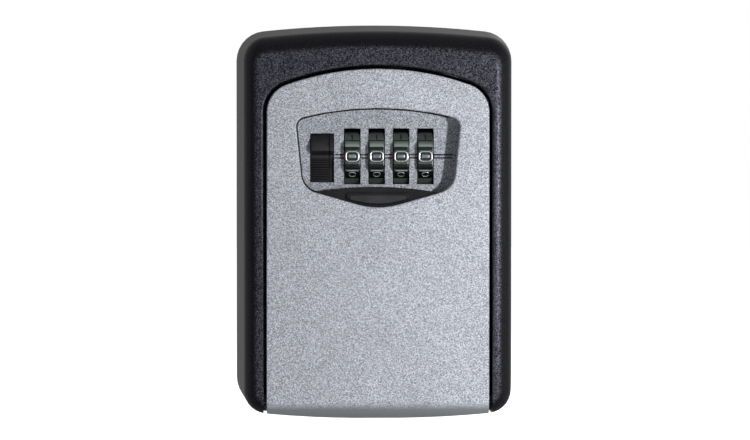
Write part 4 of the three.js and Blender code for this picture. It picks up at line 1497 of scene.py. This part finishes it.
@dataclass
class Shutter:
    """The dark plate that slides up over the dials, parked low, with a rimmed pad for a fingertip."""

    packed: Packed
    arch: float = 100.0           # radius of the plate's upper edge
    plate: float = 1.2
    plate_edge: float = 0.2       # round of its rear edge
    front_edge: float = 0.3       # round of its front edge, and of the pad's
    buried_edge: float = 0.1      # round of the rim's and the pad's rear edges
    rim_height: float = 0.75
    rim_root: float = 0.3         # how deep the rim goes into the plate
    rim_round: float = 0.5
    rim_half: float = 9.7
    rim_depth: float = 4.6        # from the rim's top edge down to its point
    rim_ends: float = 2.0         # depth of its round ends
    rim_drop: float = 1.55        # from the plate's top edge to the rim's
    pad_height: float = 1.05
    pad_half: float = 8.6
    pad_depth: float = 3.0
    pad_ends: float = 1.35
    pad_drop: float = 2.35
    point_round: float = 24.0
    end_slope: float = 0.5        # how far the ends draw in towards the point
    upper_share: float = 0.5      # radius of the ends' upper corners over their depth
    lower_share: float = 0.45     # and of their lower corners
    crease: float = 40.0          # edges that fold by more degrees stay sharp

    def canoe(self, half: float, top: float, depth: float, ends: float) -> Points:
        """An outline with a straight top, round ends and a shallow pointed bottom.

        Args:
            half: half of its width.
            top: height of the top edge.
            depth: from the top edge down to the point.
            ends: depth of the round ends.

        Returns:
            The outline's points.
        """
        inner = half - self.end_slope
        upper, lower = ends * self.upper_share, ends * self.lower_share
        return rounded([(-half, top, upper), (-inner, top - ends, lower), (0, top - depth, self.point_round),
                        (inner, top - ends, lower), (half, top, upper)], 10)

    def build(self) -> None:
        """Builds the sheet, the rim round the pad, and the pad."""
        low, high = (corner.tolist() for corner in self.packed.box("shutter"))
        half, rear, top = high
        face = rear - self.plate
        span = math.degrees(math.asin(half / self.arch))
        crown = arc((0, top - self.arch), self.arch, 90 - span, 90 + span, 40)
        outline = np.concatenate([[(-half, low[2]), (half, low[2])], crown])
        sheet = slab("shutter_sheet", outline, face, rear, self.plate_edge, Axis.Y, low_edge=self.front_edge)
        outline = self.canoe(self.rim_half, top - self.rim_drop, self.rim_depth, self.rim_ends)
        rim = slab("shutter_pad_rim", outline, face - self.rim_height, face + self.rim_root, self.buried_edge,
                   Axis.Y, low_edge=self.rim_round, steps=6)
        outline = self.canoe(self.pad_half, top - self.pad_drop, self.pad_depth, self.pad_ends)
        pad = slab("shutter_pad", outline, face - self.pad_height, face, self.buried_edge, Axis.Y,
                   low_edge=self.front_edge, steps=6)
        for piece, finish in ((sheet, SHUTTER_NYLON), (rim, SHUTTER_NYLON), (pad, PAD_NYLON)):
            keep_creases(piece, self.crease)
            self.packed.dress(piece, finish, "shutter", *(["shutter"] if piece is sheet else []))


@dataclass
class Recess:
    """Dark lines of the recess: a band of painted shade along the edge of its floor, and the paint in the two
    index grooves.
    """

    packed: Packed
    dials: int = 4
    top: float = 14.3             # these heights are counted from the dials' axis
    low: float = -9.5
    arch: float = 92.0
    top_half: float = 24.35
    top_corner: float = 3.0
    low_half: float = 22.2
    low_corner: float = 6.0
    low_run: float = 6.0          # how far the line goes on past each lower corner
    low_fall: float = 1.8         # and how much it falls there
    spacing: float = 0.4          # between the line's points
    floor_off: float = 5.5        # from the door's face to the recess floor
    # width of the band of painted shade, where the joint between wall and floor would lie in shade
    joint: float = 0.55
    joint_lift: float = 0.02      # how far the joint's band stands out of the floor
    joint_end: float = 21.3       # level place at which the shadow of the right wall takes over
    thick: float = 0.1            # of the joint's band and of the paint
    groove: float = 0.36
    groove_spacing: float = 0.95
    groove_depth: float = 0.3
    paint_half: float = 0.47      # half of the paint's width over the groove's
    dial_gap: float = 2.45        # half of a dial's window
    lever_gap: float = 0.5        # from the lever to the start of the lines
    end_gap: float = 0.6          # from the recess's lower corner to their end

    def ribbon(self, name: str, outer: Points, inner: Points, depth: float) -> bpy.types.Object:
        """A thin flat band between two lines with as many points each.

        Args:
            name: the piece's name.
            outer: one line's level places and heights.
            inner: the other line's.
            depth: depth of the band's front.

        Returns:
            The band.
        """
        behind = depth + self.thick
        corners = [placed(line, y, Axis.Y)
                   for line, y in ((outer, depth), (inner, depth), (inner, behind), (outer, behind))]
        return skin(name, np.stack(corners, 1))

    def edge(self, axis_z: float) -> Points:
        """The recess's edge from its lower left corner over the arch to its lower right corner.

        The arch falls by x squared / (2 arch) at a level place x, and is drawn over its middle two thirds. A
        straight line joins it to the shoulder on each side.

        Args:
            axis_z: height of the dials' axis.

        Returns:
            Level places and heights.
        """
        shoulder = self.top - self.top_half ** 2 / (2 * self.arch)
        crown = [(x, self.top - x * x / (2 * self.arch), 0)
                 for x in np.linspace(-1, 1, 13) * self.top_half * 2 / 3]
        right = [(self.top_half, shoulder, self.top_corner), (self.low_half, self.low, self.low_corner),
                 (self.low_half - self.low_run, self.low - self.low_fall, 0)]
        left = [(-x, z, corner) for x, z, corner in right[::-1]]
        return evenly(rounded([*left, *crown, *right], 10) + np.array([0, axis_z]), self.spacing, False)

    def build(self) -> None:
        """Builds the band of painted shade and the index lines."""
        axis_z = float(self.packed.middle("dial_1")[2])
        door_low, _ = self.packed.box("door_shell")
        floor = float(door_low[1]) + self.floor_off
        edge = self.edge(axis_z)
        along = np.gradient(edge, axis=0)
        along /= np.linalg.norm(along, axis=1, keepdims=True)
        inner = edge + np.stack([along[:, 1], -along[:, 0]], 1) * self.joint
        kept = int(np.argmax(edge[:, 0] > self.joint_end))
        # A black band where the joint between the recess wall and the floor plate would lie in shade: painted
        # shade, along the left and the top, up to where the right wall's shadow falls.
        seam = self.ribbon("recess_painted_shade", edge[:kept], inner[:kept], floor - self.joint_lift)
        self.packed.dress(seam, INFILL, "dial_plate")
        stops = [float(self.packed.box("open_lever")[1][0]) + self.lever_gap]
        for number in range(1, self.dials + 1):
            middle = float(self.packed.middle(f"dial_{number}")[0])
            stops += [middle - self.dial_gap, middle + self.dial_gap]
        stops.append(self.low_half + self.end_gap)
        bands = []
        for start, end in zip(stops[::2], stops[1::2]):
            for side in (-1, 1):
                z = axis_z + side * self.groove_spacing / 2
                upper, lower = (np.stack([np.linspace(start, end, 5), np.full(5, z + half)], 1)
                                for half in (self.groove * self.paint_half, -self.groove * self.paint_half))
                bands.append(self.ribbon("band", upper, lower, floor + self.groove_depth / 2))
        self.packed.dress(joined("index_line_paint", bands), INFILL, "dial_plate")


@dataclass
class Springs:
    """Coil springs of round wire with closed ends, as long as the packed springs they stand for."""

    packed: Packed
    wire: float = 0.5
    steps: int = 28               # parts that a turn is drawn in
    closed: float = 0.35          # share of a turn at each end that lies flat
    ease: float = 0.5             # turns over which the wire then comes to its full pace
    latch_turns: int = 9
    latch_travel: float = 4.0
    clutch_turns: int = 5
    clutch_travel: float = 1.2

    def coil(self, name: str, start: Sequence[float], radius: float, turns: float, length: float,
             axis: Axis) -> bpy.types.Object:
        """A coil whose wire lies flat at its ends and climbs evenly between them.

        The wire's place at a turn t is radius * (cos, sin)(2 pi t) across the axis. Along it, the place is
        the integral of a pace that stays at nothing for the closed share of a turn at each end, and rises
        from there over the turns of ease.

        Args:
            name: the piece's name.
            start: the middle of the coil's lower end.
            radius: from the coil's axis to the wire's middle.
            turns: number of turns.
            length: from end to end.
            axis: the coil's axis.

        Returns:
            The coil.
        """
        t = np.linspace(0, turns, int(turns * self.steps) + 1)
        pace = np.clip(np.minimum(t, turns - t) - self.closed, 0, self.ease)
        climb = np.concatenate([[0], np.cumsum((pace[1:] + pace[:-1]) / 2)])
        along = self.wire / 2 + (length - self.wire) * climb / climb[-1]
        ring = np.stack([radius * np.cos(2 * np.pi * t), radius * np.sin(2 * np.pi * t)], 1)
        path = np.insert(ring, axis.value, along, axis=1) + np.array(start, float)
        up = [0.0, 0.0, 0.0]
        up[axis.value] = 1.0
        return skin(name, tube(path, self.wire / 2, up))

    def build(self) -> None:
        """Builds the two latch springs, which the lever presses down, and the clutch spring."""
        for side in ("left", "right"):
            self.fit(f"latch_spring_{side}", Axis.Z, Axis.X, self.latch_turns)
        self.fit("clutch_spring", Axis.X, Axis.Z, self.clutch_turns)

    def fit(self, node: str, axis: Axis, across: Axis, turns: int) -> None:
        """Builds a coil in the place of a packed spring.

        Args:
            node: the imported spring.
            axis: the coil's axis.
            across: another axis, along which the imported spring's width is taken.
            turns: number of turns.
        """
        low, high = self.packed.box(node)
        start = self.packed.middle(node)
        start[axis.value] = low[axis.value]
        length = float(high[axis.value] - low[axis.value])
        radius = float(high[across.value] - low[across.value] - self.wire) / 2
        coil = self.coil(f"coil_{node}", start, radius, turns, length, axis)
        self.packed.dress(coil, SPRING_STEEL, node, node)
        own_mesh(coil)


@dataclass
class Construction:
    """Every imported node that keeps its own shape, with its finish and the round of its edges."""

    packed: Packed
    front: float = -34.0
    crown: tuple[float, float] = (1.9, 0.42)      # width and fall of the housing's front at its outer edge
    jamb_round: float = 0.7                       # round of its edge towards the door
    edge_round: float = 0.45                      # round of the door's outer edge
    rim_round: float = 0.55                       # round of the recess's rim at its left
    far_rim_round: float = 0.7                    # and at its right
    swell_start: float = 16.0                     # level place at which the rim's round begins to grow
    swell_run: float = 8.0                        # and the length over which it does
    recess: tuple[float, float, float] = (24.8, 2.8, 34.5)   # its half width, lowest and highest place

    def housing_round(self, line: Points) -> np.ndarray:
        """Radius of the housing's edge towards the door, the same all along the line."""
        return np.full(len(line), self.jamb_round)

    def door_round(self, line: Points) -> np.ndarray:
        """Radius of the door's edges: a softer one on the recess's rim, growing towards the right.

        Args:
            line: level places and heights.

        Returns:
            One radius for each.
        """
        half, low, high = self.recess
        inside = (np.abs(line[:, 0]) < half) & (line[:, 1] > low) & (line[:, 1] < high)
        swell = np.clip((line[:, 0] - self.swell_start) / self.swell_run, 0, 1) ** 2
        rim = self.rim_round + (self.far_rim_round - self.rim_round) * swell
        return np.where(inside, rim, self.edge_round)

    def build(self) -> None:
        """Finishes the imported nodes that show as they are, and builds the housing and the door anew.

        Each job is a finish, the radius of the broken edges and the nodes that get both.
        """
        soft = SoftEdges()
        rivets = [f"{kind}_rivet_{i}" for kind in ("detent", "lever") for i in (1, 2)]
        screws = [f"{kind}_screw_{i}" for kind in ("plate", "cover") for i in range(1, 5)]
        jobs: list[tuple[Finish, float, list[str]]] = [
            (PLATE_ENAMEL_PAINTED_SHADE, 0.06, ["dial_plate"]),
            (COVER_NYLON, 0.12, ["inner_cover", "reset_slider"]),
            (BLACKED_STEEL, 0.1, ["hinge_pin", "latch_plate"]),
            (ZINC_PLATE, 0.1, ["dial_shaft", *rivets]),
            (ZINC_PLATE, 0.15, screws),
            (SPRING_STEEL, 0.06, ["detent_spring", "shaft_clip_left", "shaft_clip_right"]),
            (TURNED_BRASS, 0.08, [f"code_sleeve_{i}" for i in range(1, 5)]),
        ]
        for finish, radius, names in jobs:
            for name in names:
                node = self.packed.nodes[name]
                self.packed.paint(node, finish)
                soft.apply(node, radius)
                LOG.info("finished %s as %s", name, finish.name)
        housing = RoundedFace(self.front, self.housing_round, self.crown)
        shell = RoundedFace(self.front, self.door_round)
        castings = (("housing", housing, CHARCOAL_ENAMEL), ("door_shell", shell, SILVER_ENAMEL))
        for node, maker, finish in castings:
            piece = maker.build(f"cast_{node}", self.packed.nodes[node])
            mark_grained(piece)
            self.packed.dress(piece, finish, node, node)


@dataclass
class Studio:
    """The camera at the photograph's place, soft lamps, and a pale floor below the object."""

    aim: tuple[float, float, float] = (-0.93, -34.0, 0.75)
    distance: float = 1200.0
    yaw: float = 2.0              # degrees that the camera looks to the right
    pitch: float = -1.9           # and upwards
    pixels_per_mm: float = 3.405  # at the aim
    sensor: float = 36.0
    floor_drop: float = 70.0      # from the object's lowest point down to the floor
    floor_side: float = 6000.0
    floor_colour: str = "#E6E6E8"
    floor_roughness: float = 0.9
    floor_fade: tuple[float, float] = (160.0, 420.0)   # distances between which the floor turns plain white
    floor_glow: float = 0.35      # the floor's own light nearer than that
    ambient: float = 0.06         # how much of the white background lights the object

    def camera(self) -> None:
        """Adds the camera, looking into the wall from a little left of and above straight ahead."""
        data = bpy.data.cameras.new("view")
        data.sensor_width = self.sensor
        data.sensor_fit = "HORIZONTAL"
        data.lens = self.pixels_per_mm * self.distance * self.sensor / IMAGE_WIDTH    # in mm
        camera = bpy.data.objects.new("view", data)
        yaw, pitch = math.radians(self.yaw), math.radians(self.pitch)
        ahead = Vector((math.sin(yaw) * math.cos(pitch), math.cos(yaw) * math.cos(pitch), math.sin(pitch)))
        camera.location = (Vector(self.aim) - ahead * self.distance) * MM
        camera.rotation_mode = "QUATERNION"
        camera.rotation_quaternion = ahead.to_track_quat("-Z", "Y")
        bpy.context.scene.collection.objects.link(camera)
        bpy.context.scene.camera = camera

    def lamp(self, name: str, azimuth: float, height: float, distance: float, size: float,
             power: float) -> None:
        """Adds a square lamp that faces the object.

        Args:
            name: the lamp's name.
            azimuth: degrees to the right of straight ahead.
            height: degrees above the horizon.
            distance: metres from the middle of the object's front.
            size: side of the lamp in metres.
            power: watts.
        """
        data = bpy.data.lights.new(name, "AREA")
        data.size = size
        data.energy = power
        lamp = bpy.data.objects.new(name, data)
        a, e = math.radians(azimuth), math.radians(height)
        out = Vector((math.sin(a) * math.cos(e), -math.cos(a) * math.cos(e), math.sin(e)))
        lamp.location = Vector((0, self.aim[1] * MM, 0)) + out * distance
        lamp.rotation_mode = "QUATERNION"
        lamp.rotation_quaternion = (-out).to_track_quat("-Z", "Y")
        lamp.visible_camera = False
        bpy.context.scene.collection.objects.link(lamp)

    def seen_directly(self, tree: bpy.types.NodeTree) -> bpy.types.NodeSocket:
        """Tells rays that see the studio itself from those that only light the object.

        Args:
            tree: the node tree of the world or of a material.

        Returns:
            1 for a ray from the camera, a gloss or a clear piece, and 0 for any other.
        """
        path = add_node(tree, "ShaderNodeLightPath")
        total = path.outputs["Is Camera Ray"]
        for name in ("Is Glossy Ray", "Is Transmission Ray"):
            step = add_node(tree, "ShaderNodeMath", {"operation": "MAXIMUM", 0: total, 1: path.outputs[name]})
            total = step.outputs["Value"]
        return total

    def world(self) -> None:
        """Sets a white background that lights the object at a lower level."""
        world = bpy.data.worlds.new("studio")
        bpy.context.scene.world = world
        world.use_nodes = True
        tree = world.node_tree
        tree.nodes.clear()
        seen = self.seen_directly(tree)
        strength = add_node(tree, "ShaderNodeMapRange", {"To Min": self.ambient, "To Max": 1.0}, Value=seen)
        background = add_node(tree, "ShaderNodeBackground", {"Color": linear("#FFFFFF")},
                              Strength=strength.outputs["Result"])
        add_node(tree, "ShaderNodeOutputWorld", Surface=background.outputs["Background"])

    def floor(self) -> None:
        """Adds a wide pale floor that looks white where no shadow falls."""
        level = float(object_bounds()[0].z) / MM - self.floor_drop
        corners = placed(np.array([(-1, -1), (1, -1), (1, 1), (-1, 1)]) * self.floor_side / 2, level, Axis.Z)
        floor = new_object("floor", corners * MM, [(0, 1, 2, 3)])
        material, tree, shader = new_material("pale studio floor")
        away = add_node(tree, "ShaderNodeVectorMath", {"operation": "LENGTH"}, Vector=object_place(tree))
        near, far = self.floor_fade
        faded = add_node(tree, "ShaderNodeMapRange", {"From Min": near * MM, "From Max": far * MM,
                                                      "To Min": self.floor_glow, "To Max": 1.0},
                         Value=away.outputs["Value"])
        glow = add_node(tree, "ShaderNodeMath", {"operation": "MULTIPLY", 0: self.seen_directly(tree),
                                                 1: faded.outputs["Result"]})
        feed(shader, {"Base Color": linear(self.floor_colour), "Roughness": self.floor_roughness,
                      "Emission Color": linear("#FFFFFF"), "Emission Strength": glow.outputs["Value"]})
        floor.data.materials.append(material)
        floor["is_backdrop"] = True

    def build(self) -> None:
        """Sets the floor, the lamps and the world."""
        self.floor()
        self.lamp("key", azimuth=38.7, height=2, distance=0.256, size=0.016, power=0.495)
        self.lamp("sheen", azimuth=12.7, height=5, distance=0.205, size=0.05, power=0.005)
        self.lamp("top", azimuth=-10, height=76, distance=0.9, size=0.4, power=0.9)
        self.lamp("left side", azimuth=-112, height=20, distance=1.2, size=0.8, power=0.7)
        self.lamp("back", azimuth=150, height=25, distance=1.4, size=0.9, power=5.0)
        self.world()
        bpy.context.scene.view_settings.view_transform = "Standard"


def main() -> None:
    """Builds the whole scene, one sub-assembly after another."""
    logging.basicConfig(level=logging.INFO, format="%(name)s: %(message)s")
    studio = Studio()
    studio.camera()
    packed = Packed.load()
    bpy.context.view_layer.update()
    Construction(packed).build()
    Dials(packed).build()
    OpenLever(packed).build()
    Shutter(packed).build()
    Recess(packed).build()
    Springs(packed).build()
    studio.build()


if __name__ == "__main__":
    main()
